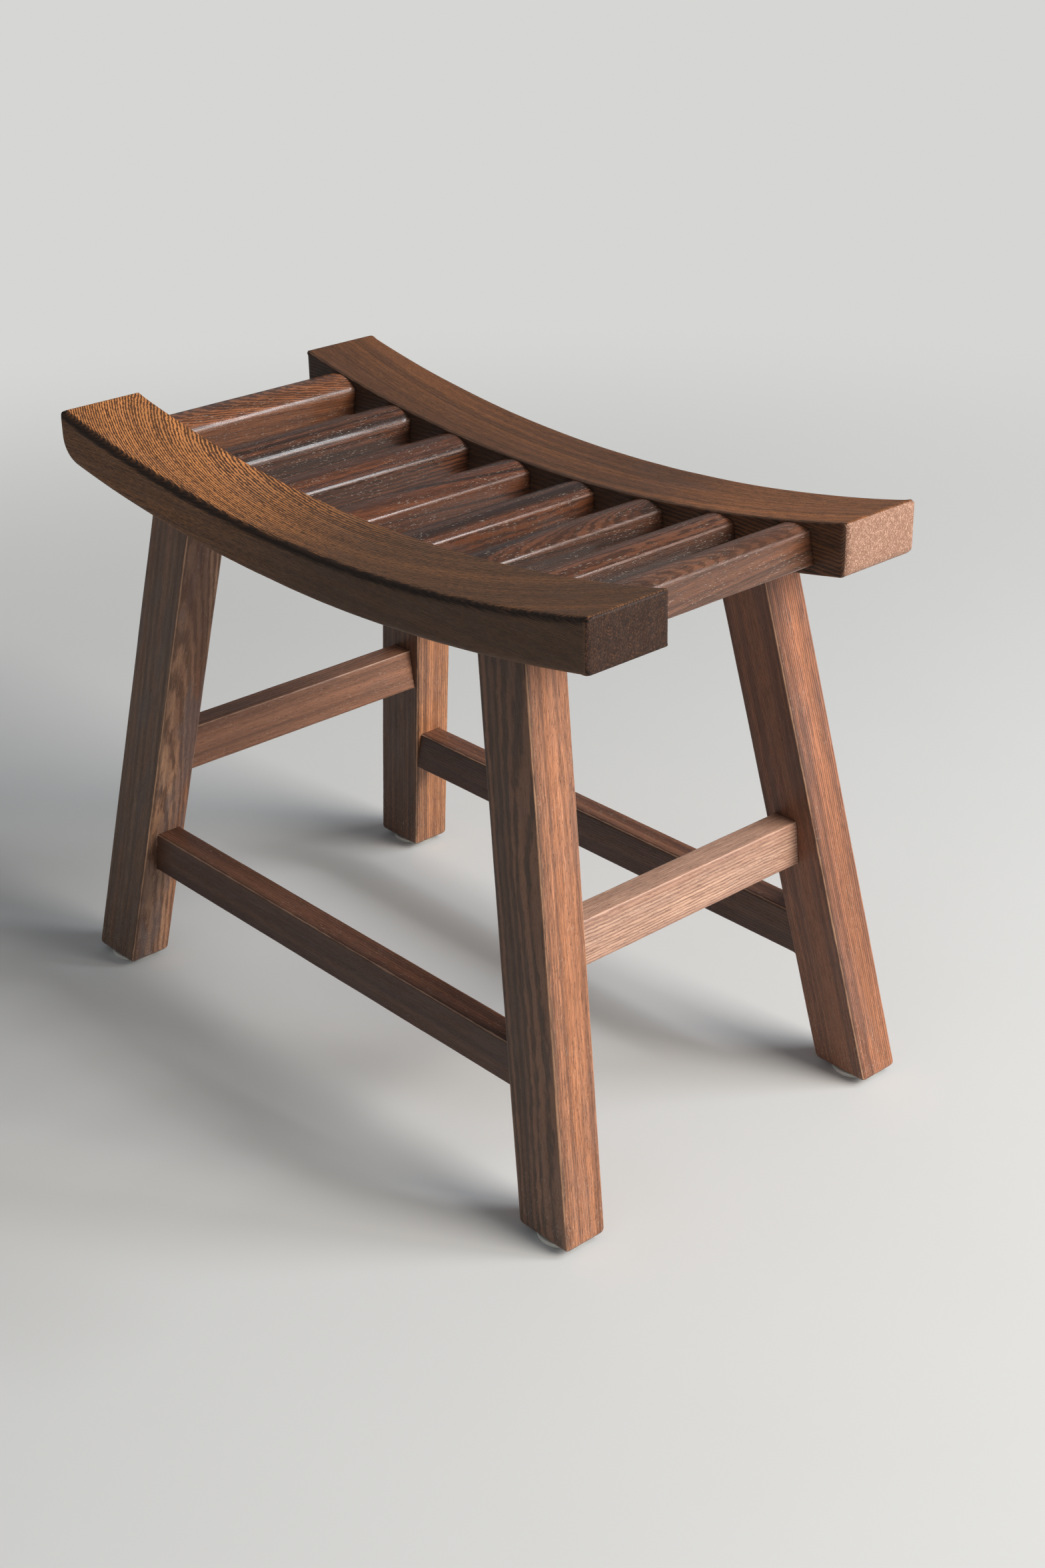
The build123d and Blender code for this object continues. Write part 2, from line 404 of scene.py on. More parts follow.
class TimberBar(CuttingTree):
    """The tree that cuts every bar: squared, domed, eased and hand-planed."""

    name = "timber bar"
    takes = {
        "Length": (FLOAT, 0.1),
        "Width": (FLOAT, 0.03),
        "Height": (FLOAT, 0.02),
        "Outer Round": (FLOAT, 0.001),
        "Inner Round": (FLOAT, 0.001),
        "Edge Wander": (FLOAT, 0.2),
        "Plan Round": (FLOAT, 0.0),
        "Upper End Round": (FLOAT, 0.0),
        "Lower End Round": (FLOAT, 0.0),
        "Lower Start Round": (FLOAT, 0.0),
        "Start Share": (FLOAT, 1.0),
        "Section Share": (FLOAT, 0.0),
        "End Zone": (FLOAT, 0.002),
        "Crown": (FLOAT, 0.0),
        "Planing": (FLOAT, 0.0),
        "Rows Along": (COUNT, 41),
        "Rows Across": (COUNT, 25),
        "Rows Up": (COUNT, 21),
        "Edge Rows": (FLOAT, 4.0),
        "End Rows": (FLOAT, 3.0),
        "Seed": (FLOAT, 0.0),
        "Material": (MATERIAL,),
    }
    row_power = 1.6
    even_power = 1.0
    edge_wave = 22.0
    edge_shift = 3.0
    planing_wave = 26.0
    section_reach = 0.006
    section_limit = 0.006
    end_edge_loss = 0.6
    dome_power = 2.0

    def _spread(
        self, place: Signal, half: Signal, zone: Signal, rows: Signal, count: Signal, power: float
    ) -> Signal:
        """Moves evenly spaced rows so that a set number of them lies in the zone at each end.

        Args:
            place: The row's place, from -1 to 1.
            half: Half the bar's size in this direction.
            zone: How far in from each end the close rows reach.
            rows: How many steps lie in the zone.
            count: The number of rows in all.
            power: Over 1, the steps shrink towards the end.

        Returns:
            The row's real place, from -half to half.
        """
        knee = (rows * 2.0 / (count - 1.0)).under(1.0)
        share = ((place.size() - knee) / knee.under(1.0)).clamped()
        inner = (place.size() / knee).least(1.0) * (half - zone)
        outer = share.under(1.0).power(power).under(1.0) * zone
        return place.sign() * (inner + outer)

    def _ease(
        self, a: Signal, b: Signal, half_a: Signal, half_b: Signal, radius: Signal
    ) -> tuple[Signal, Signal]:
        """Rounds the corner between two directions, and what lies inside it with it.

        Args:
            a: Place in the first direction.
            b: Place in the second direction.
            half_a: Half the size in the first direction.
            half_b: Half the size in the second direction.
            radius: The corner's radius.

        Returns:
            Both places after rounding.
        """
        flat_a, flat_b = half_a - radius, half_b - radius
        past_a = (a.size() - flat_a).most(0.0)
        past_b = (b.size() - flat_b).most(0.0)
        reach = (past_a * past_a + past_b * past_b).root().most(TINY)
        draw = past_a.most(past_b) / reach
        eased_a = a.sign() * (a.size().least(flat_a) + past_a * draw)
        eased_b = b.sign() * (b.size().least(flat_b) + past_b * draw)
        return eased_a, eased_b

    def _round(
        self, place: tuple[Signal, ...], halves: tuple[Signal, ...],
        corner: Signal, edge: Signal, upright: Signal
    ) -> tuple[Signal, Signal, Signal]:
        """Rounds the bar's profile at its ends, and then the edge that runs round the profile.

        Args:
            place: Place along, across and up the bar.
            halves: Half the bar's size in each direction.
            corner: Radius of the profile's corner.
            edge: Radius of the long edges.
            upright: Radius of the upright edges at the ends.

        Returns:
            The rounded place.
        """
        x, y, z = place
        half_x, half_y, half_z = halves
        side_x, side_z = self._ease(x, z, half_x, half_z, corner.most(TINY))
        margin_x, margin_z = half_x - x.size(), half_z - z.size()
        turn = corner.most(edge)
        lean_x, lean_z = (turn - margin_x).most(0.0), (turn - margin_z).most(0.0)
        reach = (lean_x * lean_x + lean_z * lean_z).root().most(TINY)
        lean_x, lean_z = lean_x / reach, lean_z / reach
        radius = edge * lean_z * lean_z + upright * lean_x * lean_x
        past_rim = (radius - margin_x.least(margin_z)).most(0.0)
        past_side = (y.size() - half_y + radius).most(0.0)
        past = (past_rim * past_rim + past_side * past_side).root().most(TINY)
        short = (past_rim.most(past_side) / past).under(1.0)
        inward = past_rim * short
        eased_y = y.sign() * (y.size() - past_side * short)
        return side_x - x.sign() * lean_x * inward, eased_y, side_z - z.sign() * lean_z * inward

    def _edge_radius(self, along: Signal, outer: Signal, upper: Signal) -> Signal:
        """Radius of the nearest long edge, which wanders along it as a hand-sanded one does.

        Args:
            along: Place along the bar.
            outer: 1 on the outer side and -1 on the inner one.
            upper: 1 on the upper side and -1 on the lower one.

        Returns:
            The radius.
        """
        bench, take = self.bench, self.taken
        shift = self.edge_shift
        place = bench.join(along * self.edge_wave + take["Seed"], outer * shift, upper * shift)
        swing = (bench.noise(place, 1.0) - 0.5) * 2.0 * take["Edge Wander"] + 1.0
        nominal = outer.positive().between(take["Inner Round"], take["Outer Round"])
        return nominal * swing.least(take["Edge Wander"] + 1.0)

    def _rows(self, halves: tuple[Signal, ...]) -> tuple[Feed, tuple[Signal, ...], tuple[Signal, ...]]:
        """Makes the squared bar's mesh and works out where its rows go.

        Args:
            halves: Half the bar's size in each direction.

        Returns:
            The mesh, each point's place from -1 to 1, and its real place.
        """
        bench, take = self.bench, self.taken
        half_x, half_y, half_z = halves
        feeds = {"Size": (2.0, 2.0, 2.0), "Vertices X": take["Rows Along"]}
        feeds |= {"Vertices Y": take["Rows Across"], "Vertices Z": take["Rows Up"]}
        cube = bench.add("GeometryNodeMeshCube", feeds)
        u, v, w = self._position()
        widest = take["Edge Wander"] + 1.0
        outer_zone, inner_zone = take["Outer Round"] * widest, take["Inner Round"] * widest
        zone_y = v.positive().between(inner_zone, outer_zone)
        zone_z = (v * 0.5 + 0.5).clamped().between(inner_zone, outer_zone)
        ends = (take["End Zone"], take["End Rows"], take["Rows Along"], self.row_power)
        x = self._spread(u, half_x, *ends)
        y = self._spread(v, half_y, zone_y, take["Edge Rows"], take["Rows Across"], self.even_power)
        z = self._spread(w, half_z, zone_z, take["Edge Rows"], take["Rows Up"], self.even_power)
        return cube.outputs["Mesh"], (u, v, w), (x, y, z)

    def _marked(self, mesh: Feed, marks: dict[str, Signal]) -> Feed:
        """Stores distances on the mesh's points while it is still square.

        Args:
            mesh: The squared mesh.
            marks: Each distance by its label.

        Returns:
            The mesh with its marks.
        """
        for label, mark in marks.items():
            feeds = {"Geometry": mesh, "Name": label, "Value": mark}
            kind = {"data_type": "FLOAT", "domain": "POINT"}
            mesh = self.bench.add("GeometryNodeStoreNamedAttribute", feeds, **kind).outputs[0]
        return mesh

    def _planed(self, geometry: Feed) -> Feed:
        """Cuts shallow waves into the faces, which fade out at the ends.

        Args:
            geometry: The shaped bar.

        Returns:
            The planed bar.
        """
        bench, take = self.bench, self.taken
        x, y, z = self._position()
        wave = self.planing_wave
        spot = bench.join(x * wave + take["Seed"], y * wave, z * wave + take["Seed"])
        feeds = {"Name": "end"}
        to_end = bench.signal("GeometryNodeInputNamedAttribute", "Attribute", feeds, data_type="FLOAT")
        depth = bench.noise(spot, 1.0) * take["Planing"] * to_end.ramp(0.0, take["End Zone"])
        feeds = {0: bench.add("GeometryNodeInputNormal").outputs[0], "Scale": depth * -1.0}
        cut = bench.signal("ShaderNodeVectorMath", "Vector", feeds, operation="SCALE")
        return bench.add("GeometryNodeSetPosition", {"Geometry": geometry, "Offset": cut}).outputs[0]

    def _shape(self) -> Feed:
        """Wires the bar's shape and gives its geometry.

        Returns:
            The planed bar.
        """
        bench, take = self.bench, self.taken
        halves = tuple(take[name] * 0.5 for name in ("Length", "Width", "Height"))
        half_x, half_y, half_z = halves
        cube, (u, v, w), (x, y, z) = self._rows(halves)
        to_end = half_x - x.size()
        squared = self._marked(cube, {"arris": (half_y - y.size()) + (half_z - z.size()), "end": to_end})

        radius = self._edge_radius(x, v.sign(), w.sign())
        at_end = u.positive()
        end_share = at_end.between(take["Start Share"], 1.0)
        lower_round = at_end.between(take["Lower Start Round"], take["Lower End Round"])
        corner = w.positive().between(lower_round, take["Upper End Round"] * end_share)
        near_end = to_end.ramp(self.section_reach, 0.0) * corner.math("LESS_THAN", self.section_limit)
        near_end = near_end * take["Section Share"]
        y, z = self._ease(y, z, half_y, half_z, (radius * near_end).most(TINY))
        edge = radius * (near_end * -self.end_edge_loss + 1.0)
        x, y, z = self._round((x, y, z), halves, corner, edge, take["Plan Round"] * end_share)
        dome = (y / half_y).power(self.dome_power).under(1.0) * take["Crown"] * w.clamped()
        feeds = {"Geometry": squared, "Position": bench.join(x, y, z + dome)}
        return self._planed(bench.add("GeometryNodeSetPosition", feeds).outputs[0])


class GlideDisc(CuttingTree):
    """The tree that turns a round pad with softened rims."""

    name = "glide disc"
    takes = {
        "Radius": (FLOAT, 0.0125),
        "Thickness": (FLOAT, 0.0025),
        "Rim": (FLOAT, 0.0005),
        "Around": (COUNT, 72),
        "Up": (COUNT, 9),
        "Rings": (COUNT, 8),
        "Material": (MATERIAL,),
    }

    def _shape(self) -> Feed:
        """Wires the pad's shape and gives its geometry.

        Returns:
            The pad with its rims softened.
        """
        bench, take = self.bench, self.taken
        feeds = {"Vertices": take["Around"], "Side Segments": take["Up"], "Fill Segments": take["Rings"]}
        feeds |= {"Radius": take["Radius"], "Depth": take["Thickness"]}
        disc = bench.add("GeometryNodeMeshCylinder", feeds, fill_type="TRIANGLE_FAN")
        x, y, z = self._position()
        half = take["Thickness"] * 0.5
        past = ((z.size() - half + take["Rim"]) / take["Rim"]).clamped()
        inset = (past * past).under(1.0).root().under(1.0) * take["Rim"]
        draw = inset.under(0.0) / take["Radius"] + 1.0
        feeds = {"Geometry": disc.outputs["Mesh"], "Position": bench.join(x * draw, y * draw, z)}
        return bench.add("GeometryNodeSetPosition", feeds).outputs[0]


@dataclass(frozen=True)
class Blank:
    """A bar as it comes off the bench, before it goes to its place."""

    length: float
    width: float
    height: float
    rows: tuple[int, int, int]
    outer_round: float = 0.0012
    inner_round: float = 0.0012
    edge_wander: float = 0.25
    plan_round: float = 0.0
    upper_end_round: float = 0.0
    lower_end_round: float = 0.0
    lower_start_round: float = 0.0
    start_share: float = 1.0
    section_share: float = 0.0
    end_zone: float = 0.002
    end_rows: float = 2.0
    crown: float = 0.0
    planing: float = 0.00025
    seed: float = 0.0

    def cut(self, name: str, tree: TimberBar, material: bpy.types.Material) -> bpy.types.Mesh:
        """Cuts the bar about the origin, along X.

        Args:
            name: The mesh's name.
            tree: The tree that cuts it.
            material: Its finish.

        Returns:
            The bar as a plain mesh.
        """
        values = {label.replace("_", " ").title(): value for label, value in asdict(self).items()}
        rows = values.pop("Rows")
        values |= {f"Rows {way}": count for way, count in zip(("Along", "Across", "Up"), rows)}
        return tree.run(name, {**values, "Material": material})


def read_points(mesh: bpy.types.Mesh) -> Points:
    """The mesh's points as an array of rows.

    Args:
        mesh: The mesh.

    Returns:
        One row of three numbers for each point.
    """
    flat = np.empty(len(mesh.vertices) * 3)
    mesh.vertices.foreach_get("co", flat)
    return flat.reshape(-1, 3)


def write_points(mesh: bpy.types.Mesh, points: Points) -> None:
    """Moves the mesh's points, and turns its faces outwards if that mirrored them.

    Args:
        mesh: The mesh.
        points: The new place of each of its points.
    """
    mesh.vertices.foreach_set("co", points.astype(np.float32).ravel())
    mesh.update()
    if enclosed_volume(mesh) < 0:
        mesh.flip_normals()


def enclosed_volume(mesh: bpy.types.Mesh) -> float:
    """Volume inside the mesh.

    Args:
        mesh: A closed mesh.

    Returns:
        The volume in cubic metres, negative if the faces point inwards.
    """
    mesh.calc_loop_triangles()
    corners = np.empty(len(mesh.loop_triangles) * 3, dtype=np.int32)
    mesh.loop_triangles.foreach_get("vertices", corners)
    a, b, c = read_points(mesh)[corners.reshape(-1, 3)].transpose(1, 0, 2)
    return float(np.einsum("ij,ij->i", a, np.cross(b, c)).sum() / TETRAHEDRA_PER_BOX)


def write_board(mesh: bpy.types.Mesh, board: Points) -> None:
    """Stores each point's place in the board it was sawn from, length, width and thickness."""
    attribute = mesh.attributes.new("board", "FLOAT_VECTOR", "POINT")
    attribute.data.foreach_set("vector", board.astype(np.float32).ravel())


def write_mark(mesh: bpy.types.Mesh, label: str, distances: Points) -> None:
    """Stores each point's distance from one of the piece's sides or corners."""
    attribute = mesh.attributes.new(label, "FLOAT", "POINT")
    attribute.data.foreach_set("value", distances.astype(np.float32))


def install(mesh: bpy.types.Mesh, node: str) -> bpy.types.Object:
    """Puts a finished mesh in the place of the frame's node of the same name.

    Args:
        mesh: The piece, already in place.
        node: The frame's node that it stands for.

    Returns:
        The new object.
    """
    piece = bpy.data.objects.new(f"{node}_finished", mesh)
    bpy.context.scene.collection.objects.link(piece)
    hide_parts(node)
    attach(piece, BODY)
    log.info("%s: %d faces", piece.name, len(mesh.polygons))
    return piece


class ShaderEffects:
    """The node groups that every wood finish shares. Paces are patches per metre."""

    slow_pace = (4.0, 14.0)
    quick_pace = (170.0, 260.0)
    break_across = 0.85
    break_around = 380.0
    break_roughness = 0.6
    width_swing = 0.35
    width_shift = 0.1
    tone_pace = (0.33, 2.0)
    band_pace = (0.07, 1.5)
    band_shift = 9.0
    jog_pace = (300.0, 900.0)
    jog_reach = 3.0
    dash_edge = (0.46, 0.2)
    patch_texture = (3.0, 0.55)
    rub_pace = (90.0, 500.0)
    rub_texture = (3.0, 0.6)
    rub_edge = (0.0, 0.5)
    stroke_pace = 700.0
    stroke_bend = 1.6
    stroke_stretch = 0.45
    stroke_texture = (2.0, 0.6)
    stroke_edge = (0.02, 0.16)

    def __init__(self) -> None:
        """Builds every group once."""
        self.growth = self._growth()
        self.dashes = self._dashes()
        self.patches = self._patches()
        self.wear = self._wear()
        self.end_grain = self._end_grain()

    def _start(self, name: str, takes: dict[str, tuple], gives: tuple[str, ...] = ("Mask",)) -> Bench:
        """Starts a group that reads the board's coordinates and a seed.

        Args:
            name: The group's name.
            takes: Its other inputs.
            gives: Its outputs, which are all values.

        Returns:
            The bench.
        """
        takes = {"Board": (VECTOR,), "Seed": (FLOAT, 0.0), **takes}
        return Bench.group("ShaderNodeTree", name, takes, dict.fromkeys(gives, FLOAT))

    def _growth(self) -> bpy.types.NodeTree:
        """Growth layers about an offset pith: broken dark lines, layer tones and broad bands.

        Returns:
            The group.
        """
        bench = self._start("growth layers", {
            "Pith Across": (FLOAT, 0.1),
            "Pith Up": (FLOAT, 0.1),
            "Spacing": (FLOAT, 0.0012),
            "Taper": (FLOAT, 0.0),
            "Wander": (FLOAT, 0.002),
            "Ripple": (FLOAT, 0.0001),
            "Break": (FLOAT, 1.0),
            "Break Length": (FLOAT, 0.0067),
            "Line Start": (FLOAT, 0.36),
            "Line End": (FLOAT, 0.74),
        }, ("Line", "Tone", "Band"))
        take = bench.taken
        place, seed = bench.split(take["Board"]), take["Seed"]
        x, y, z = place
        slow = bench.noise(bench.drawn_out(place, seed, self.slow_pace)) - 0.5
        quick = bench.noise(bench.drawn_out(place, seed, self.quick_pace)) - 0.5
        out_y, out_z = y - take["Pith Across"], z - take["Pith Up"]
        distance = (out_y * out_y + out_z * out_z).root()
        radius = distance + x * take["Taper"] + slow * take["Wander"] + quick * take["Ripple"]
        count = radius / take["Spacing"]
        layer = count.math("FLOOR")
        centre = (count.math("FRACT") - 0.5).size() * 2.0
        around = out_y.math("ARCTAN2", out_z) * distance * self.break_around
        spot = bench.join(x / take["Break Length"] + seed, count * self.break_across, around)
        breaks = bench.noise(spot, roughness=self.break_roughness) - 0.5
        width = bench.lot(layer + seed) * self.width_swing - self.width_shift
        line = (centre + breaks * take["Break"] * 2.0 + width).ramp(take["Line Start"], take["Line End"])
        (tone_out, tone_along), (band_out, band_along) = self.tone_pace, self.band_pace
        tone = bench.noise(bench.join(count * tone_out, seed, x * tone_along), 1.0)
        band = bench.noise(bench.join(count * band_out + self.band_shift, seed, x * band_along), 1.0)
        return bench.give({"Line": line, "Tone": tone, "Band": band})

    def _dashes(self) -> bpy.types.NodeTree:
        """Vessels and flecks: thin dashes along the grain, dots on its end.

        Returns:
            The group.
        """
        takes = {"Length": (FLOAT, 0.006), "Width": (FLOAT, 0.0004), "Share": (FLOAT, 0.4)}
        bench = self._start("dashes", takes)
        take = bench.taken
        place = bench.split(take["Board"])
        x, y, z = place
        jog = bench.noise(bench.drawn_out(place, take["Seed"], self.jog_pace), 1.0) * self.jog_reach
        spot = bench.join(
            x / take["Length"] + jog + take["Seed"], y / take["Width"] + jog, z / take["Width"] - jog)
        cells = bench.add("ShaderNodeTexVoronoi", {"Vector": spot, "Scale": 1.0, "Randomness": 1.0})
        chance = bench.split(cells.outputs["Color"])[0]
        near = Signal(bench, cells.outputs["Distance"]).ramp(*self.dash_edge)
        return bench.give({"Mask": near * chance.math("LESS_THAN", take["Share"])})

    def _patches(self) -> bpy.types.NodeTree:
        """Soft patches drawn out along the grain, from 0 to 1.

        Returns:
            The group.
        """
        takes = {"Length": (FLOAT, 0.05), "Width": (FLOAT, 0.01), "Start": (FLOAT, 0.4), "End": (FLOAT, 0.6)}
        bench = self._start("patches", takes)
        take = bench.taken
        x, y, z = bench.split(take["Board"])
        spot = bench.join(x / take["Length"] + take["Seed"], y / take["Width"], z / take["Width"])
        return bench.give({"Mask": bench.noise(spot, *self.patch_texture).ramp(take["Start"], take["End"])})

    def _wear(self) -> bpy.types.NodeTree:
        """Rubbed edges: strongest on the arris, broken up along it.

        Returns:
            The group.
        """
        bench = self._start("edge wear", {"Distance": (FLOAT,), "Reach": (FLOAT, 0.002)})
        take = bench.taken
        place = bench.split(take["Board"])
        rough = bench.noise(bench.drawn_out(place, take["Seed"], self.rub_pace), *self.rub_texture)
        near = (take["Distance"] / take["Reach"]).clamped().under(1.0)
        return bench.give({"Mask": (near + rough - 1.0).ramp(*self.rub_edge)})

    def _end_grain(self) -> bpy.types.NodeTree:
        """Sawn end: short crooked strokes of open wood, as a brushed end shows them.

        Returns:
            The group.
        """
        bench = self._start("end grain", {"Size": (FLOAT, 0.0008), "Slant": (FLOAT, 0.5)})
        take = bench.taken
        x, y, z = bench.split(take["Board"])
        spot = bench.join(y * self.stroke_pace + take["Seed"], z * self.stroke_pace, x)
        bend = bench.noise(spot) * self.stroke_bend
        across = (y + z * take["Slant"]) / take["Size"] + bend
        along = (z - y * take["Slant"]) / take["Size"] * self.stroke_stretch + bend
        strokes = bench.noise(bench.join(across, along, take["Seed"]), *self.stroke_texture)
        return bench.give({"Mask": (strokes - 0.5).size().ramp(*self.stroke_edge)})


class Patch(NamedTuple):
    """One kind of soft patch: its size, and the noise values at which it starts and is full."""

    length: float
    width: float
    start: float
    end: float


@dataclass(frozen=True)
class WoodFinish:
    """One board's figure and lacquer, with painted light and shade laid into some of its colours. Colours
    are linear and lengths are in metres.
    """

    name: str
    pale: Colour = srgb(150, 98, 66)
    dark: Colour = srgb(46, 29, 22)
    heart: Colour = srgb(66, 42, 31)
    streak: Colour = srgb(176, 108, 62)
    # Painted reflection: grey-blue cloudy patches standing in for the sky's reflection in the lacquer.
    haze: Colour = srgb(98, 90, 92)
    # Pale flecks in the pores, partly the wood's own pale specks and partly painted glints. The scuffs near
    # the feet use this colour too.
    fleck: Colour = srgb(206, 194, 180)
    end_pale: Colour = srgb(112, 84, 68)
    end_dark: Colour = srgb(58, 39, 31)
    worn: Colour = srgb(164, 122, 94)
    # Painted shade: the dark colour along the front rail's rounded outer upper edge.
    rim: Colour = srgb(30, 19, 14)
    # Painted shade: darker colour laid on the sides turned from the light. A little of it is the wood's own
    # darker side.
    face: Colour = srgb(80, 68, 62)
    pith: tuple[float, float] = (0.1, 0.1)
    spacing: float = 0.0009
    taper: float = 0.0
    wander: float = 0.006
    ripple: float = 0.0004
    line_break: float = 0.6
    break_length: float = 0.0067
    line_edge: tuple[float, float] = (0.36, 0.74)
    line_share: float = 0.9
    tone_share: float = 0.5
    streak_share: float = 0.35
    haze_share: float = 0.12
    pore_share: float = 0.5
    fleck_share: float = 0.25
    fleck_density: float = 0.12
    wear_share: float = 0.3
    wear_reach: float = 0.002
    scuff_share: float = 0.0
    rim_share: float = 0.0
    rim_drift: float = 0.0
    face_share: float = 0.0
    # Painted shade along the board: how much it darkens towards the heart colour, and where.
    fade_share: float = 0.0
    fade_span: tuple[float, float] = (0.0, 0.1)
    end_slant: float = 0.5
    roughness: float = 0.44
    gloss: float = 0.35
    coat: float = 0.2
    coat_roughness: float = 0.26
    relief: float = 0.5
    seed: float = 0.0

    def material(self, effects: ShaderEffects) -> bpy.types.Material:
        """Builds the finish.

        Args:
            effects: The shared node groups.

        Returns:
            The material.
        """
        material = bpy.data.materials.new(self.name)
        WoodShader(self, effects, empty_bench(material)).build()
        return material


class WoodShader:
    """The node tree of one wood finish while it is being wired."""

    fibre_patch = Patch(0.011, 0.00032, 0.3, 0.7)
    board_patch = Patch(0.13, 0.006, 0.4, 0.66)
    cloud_patch = Patch(0.05, 0.012, 0.5, 0.66)
    drift_patch = Patch(0.03, 0.006, 0.42, 0.58)
    planing_patch = Patch(0.01, 0.002, 0.3, 0.7)
    speck_patch = Patch(0.0016, 0.0007, 0.6, 0.68)
    rim_patch = Patch(0.012, 0.0008, 0.3, 0.7)
    pore_size = {"Length": 0.0055, "Width": 0.00032, "Share": 0.4}
    fleck_size = {"Length": 0.0024, "Width": 0.00024}
    tone_edge = (0.35, 0.7)
    band_edge = (0.45, 0.7)
    end_edge = (0.0011, 0.0004)
    face_edge = (0.0036, 0.0014)
    rim_edge = (0.0050, 0.0030)
    ragged_reach = 0.0012
    scuff_height = 0.06
    line_least = 0.7
    line_swing = 0.55
    board_tone_share = 0.6
    streak_loss = 0.7
    fibre_share = 0.22
    sawn_line_loss = 0.5
    relief_depth = 0.0004
    matt = {"lines": 0.1, "drift": 0.1, "pores": 0.15, "end": 0.2}
    raised = {"fibre": 0.3, "lines": -0.6, "pores": -0.9, "strokes": -0.5}

    def __init__(self, finish: "WoodFinish", effects: ShaderEffects, bench: Bench) -> None:
        """Places the shared groups on the board.

        Args:
            finish: The finish to wire.
            effects: The shared node groups.
            bench: The material's bench.
        """
        self.finish, self.effects, self.bench = finish, effects, bench
        self.board = bench.add("ShaderNodeAttribute", attribute_name="board").outputs["Vector"]
        self.along = bench.split(self.board)[0]
        self.end = self._mark("end").ramp(*self.end_edge)
        self.fibre = self._patches(self.fibre_patch)
        self.drift = self._patches(self.drift_patch)
        self.pores = self._effect(effects.dashes, self.pore_size)
        self.strokes = self._effect(effects.end_grain, {"Slant": finish.end_slant})
        line = self._effect(effects.growth, {
            "Pith Across": finish.pith[0],
            "Pith Up": finish.pith[1],
            "Spacing": finish.spacing,
            "Taper": finish.taper,
            "Wander": finish.wander,
            "Ripple": finish.ripple,
            "Break": finish.line_break,
            "Break Length": finish.break_length,
            "Line Start": finish.line_edge[0],
            "Line End": finish.line_edge[1],
        }, "Line")
        self.growth = line.socket.node
        self.lines = line * (self.fibre * self.line_swing + self.line_least) * finish.line_share

    def _mark(self, label: str) -> Signal:
        """A distance that was stored on the piece."""
        return self.bench.signal("ShaderNodeAttribute", "Fac", attribute_name=label)

    def _effect(self, tree: bpy.types.NodeTree, feeds: dict, output: str = "Mask") -> Signal:
        """Places a shared group on this board.

        Args:
            tree: The group.
            feeds: Its inputs, apart from the board and the seed.
            output: Which of its outputs is wanted.

        Returns:
            The output's value.
        """
        feeds = {"Board": self.board, "Seed": self.finish.seed, **feeds}
        return self.bench.signal("ShaderNodeGroup", output, feeds, node_tree=tree)

    def _patches(self, patch: Patch) -> Signal:
        """Soft patches of one kind on this board."""
        feeds = {label.title(): value for label, value in patch._asdict().items()}
        return self._effect(self.effects.patches, feeds)

    def _ragged(self, patch: Patch, label: str) -> Signal:
        """A stored distance whose edge is broken up by patches."""
        return self._patches(patch) * self.ragged_reach + self._mark(label)

    def _figure(self) -> Signal:
        """Colour of the planed faces, from the layers up to the pale flecks, with painted shade along the
        board, painted reflections, and flecks that are partly painted glints.

        Returns:
            The colour.
        """
        finish, bench = self.finish, self.bench
        tone = Signal(bench, self.growth.outputs["Tone"]).ramp(*self.tone_edge) * finish.tone_share
        band = Signal(bench, self.growth.outputs["Band"]).ramp(*self.band_edge) * finish.streak_share
        board_tone = self._patches(self.board_patch) * finish.tone_share * self.board_tone_share
        flecks = self._effect(self.effects.dashes, {**self.fleck_size, "Share": finish.fleck_density})
        colour = bench.blend(self.lines.clamped(), finish.pale, finish.dark)
        # Painted shade along the board, towards the heart colour.
        if finish.fade_share:
            fade = self.along.ramp(*finish.fade_span) * finish.fade_share
            colour = bench.blend(fade, colour, finish.heart)
        for share, over in (
            (tone, finish.heart),
            (board_tone, finish.heart),
            (band * (self.lines * -self.streak_loss + 1.0), finish.streak),
            (self.fibre * self.fibre_share, finish.dark),
            # Painted reflection: grey-blue cloudy patches.
            (self._patches(self.cloud_patch) * finish.haze_share, finish.haze),
            (self.pores * finish.pore_share, finish.dark),
            # Pale flecks along the grain: partly pale pores, partly painted glints.
            (flecks * self.drift * finish.fleck_share, finish.fleck),
        ):
            colour = bench.blend(share, colour, over)
        return colour

    def _colour(self) -> Signal:
        """The figure with painted shade on the sides turned from the light, the sawn ends, wear, scuffs and
        the dark rim, which is painted shade too.

        Returns:
            The whole board's colour.
        """
        finish, bench = self.finish, self.bench
        colour = self._figure()
        # Painted shade on the side turned from the light, its edge broken up by patches.
        if finish.face_share:
            share = self._ragged(self.planing_patch, "face").ramp(*self.face_edge) * finish.face_share
            colour = bench.blend(share, colour, finish.face)
        cover = self.strokes * (self.lines * -self.sawn_line_loss + 1.0)
        colour = bench.blend(self.end, colour, bench.blend(cover, finish.end_dark, finish.end_pale))
        feeds = {"Distance": self._mark("arris"), "Reach": finish.wear_reach}
        wear = self._effect(self.effects.wear, feeds) * finish.wear_share
        colour = bench.blend(wear, colour, finish.worn)
        if finish.scuff_share:
            specks = self._patches(self.speck_patch) * self.along.ramp(self.scuff_height, 0.0)
            colour = bench.blend(specks * finish.scuff_share, colour, finish.fleck)
        # Painted shade along the rounded outer upper edge, ragged by patches and drifting along the board.
        if finish.rim_share:
            painted_shade_rim = self._ragged(self.rim_patch, "rim") + self.along * finish.rim_drift
            colour = bench.blend(painted_shade_rim.ramp(*self.rim_edge) * finish.rim_share, colour, finish.rim)
        return colour

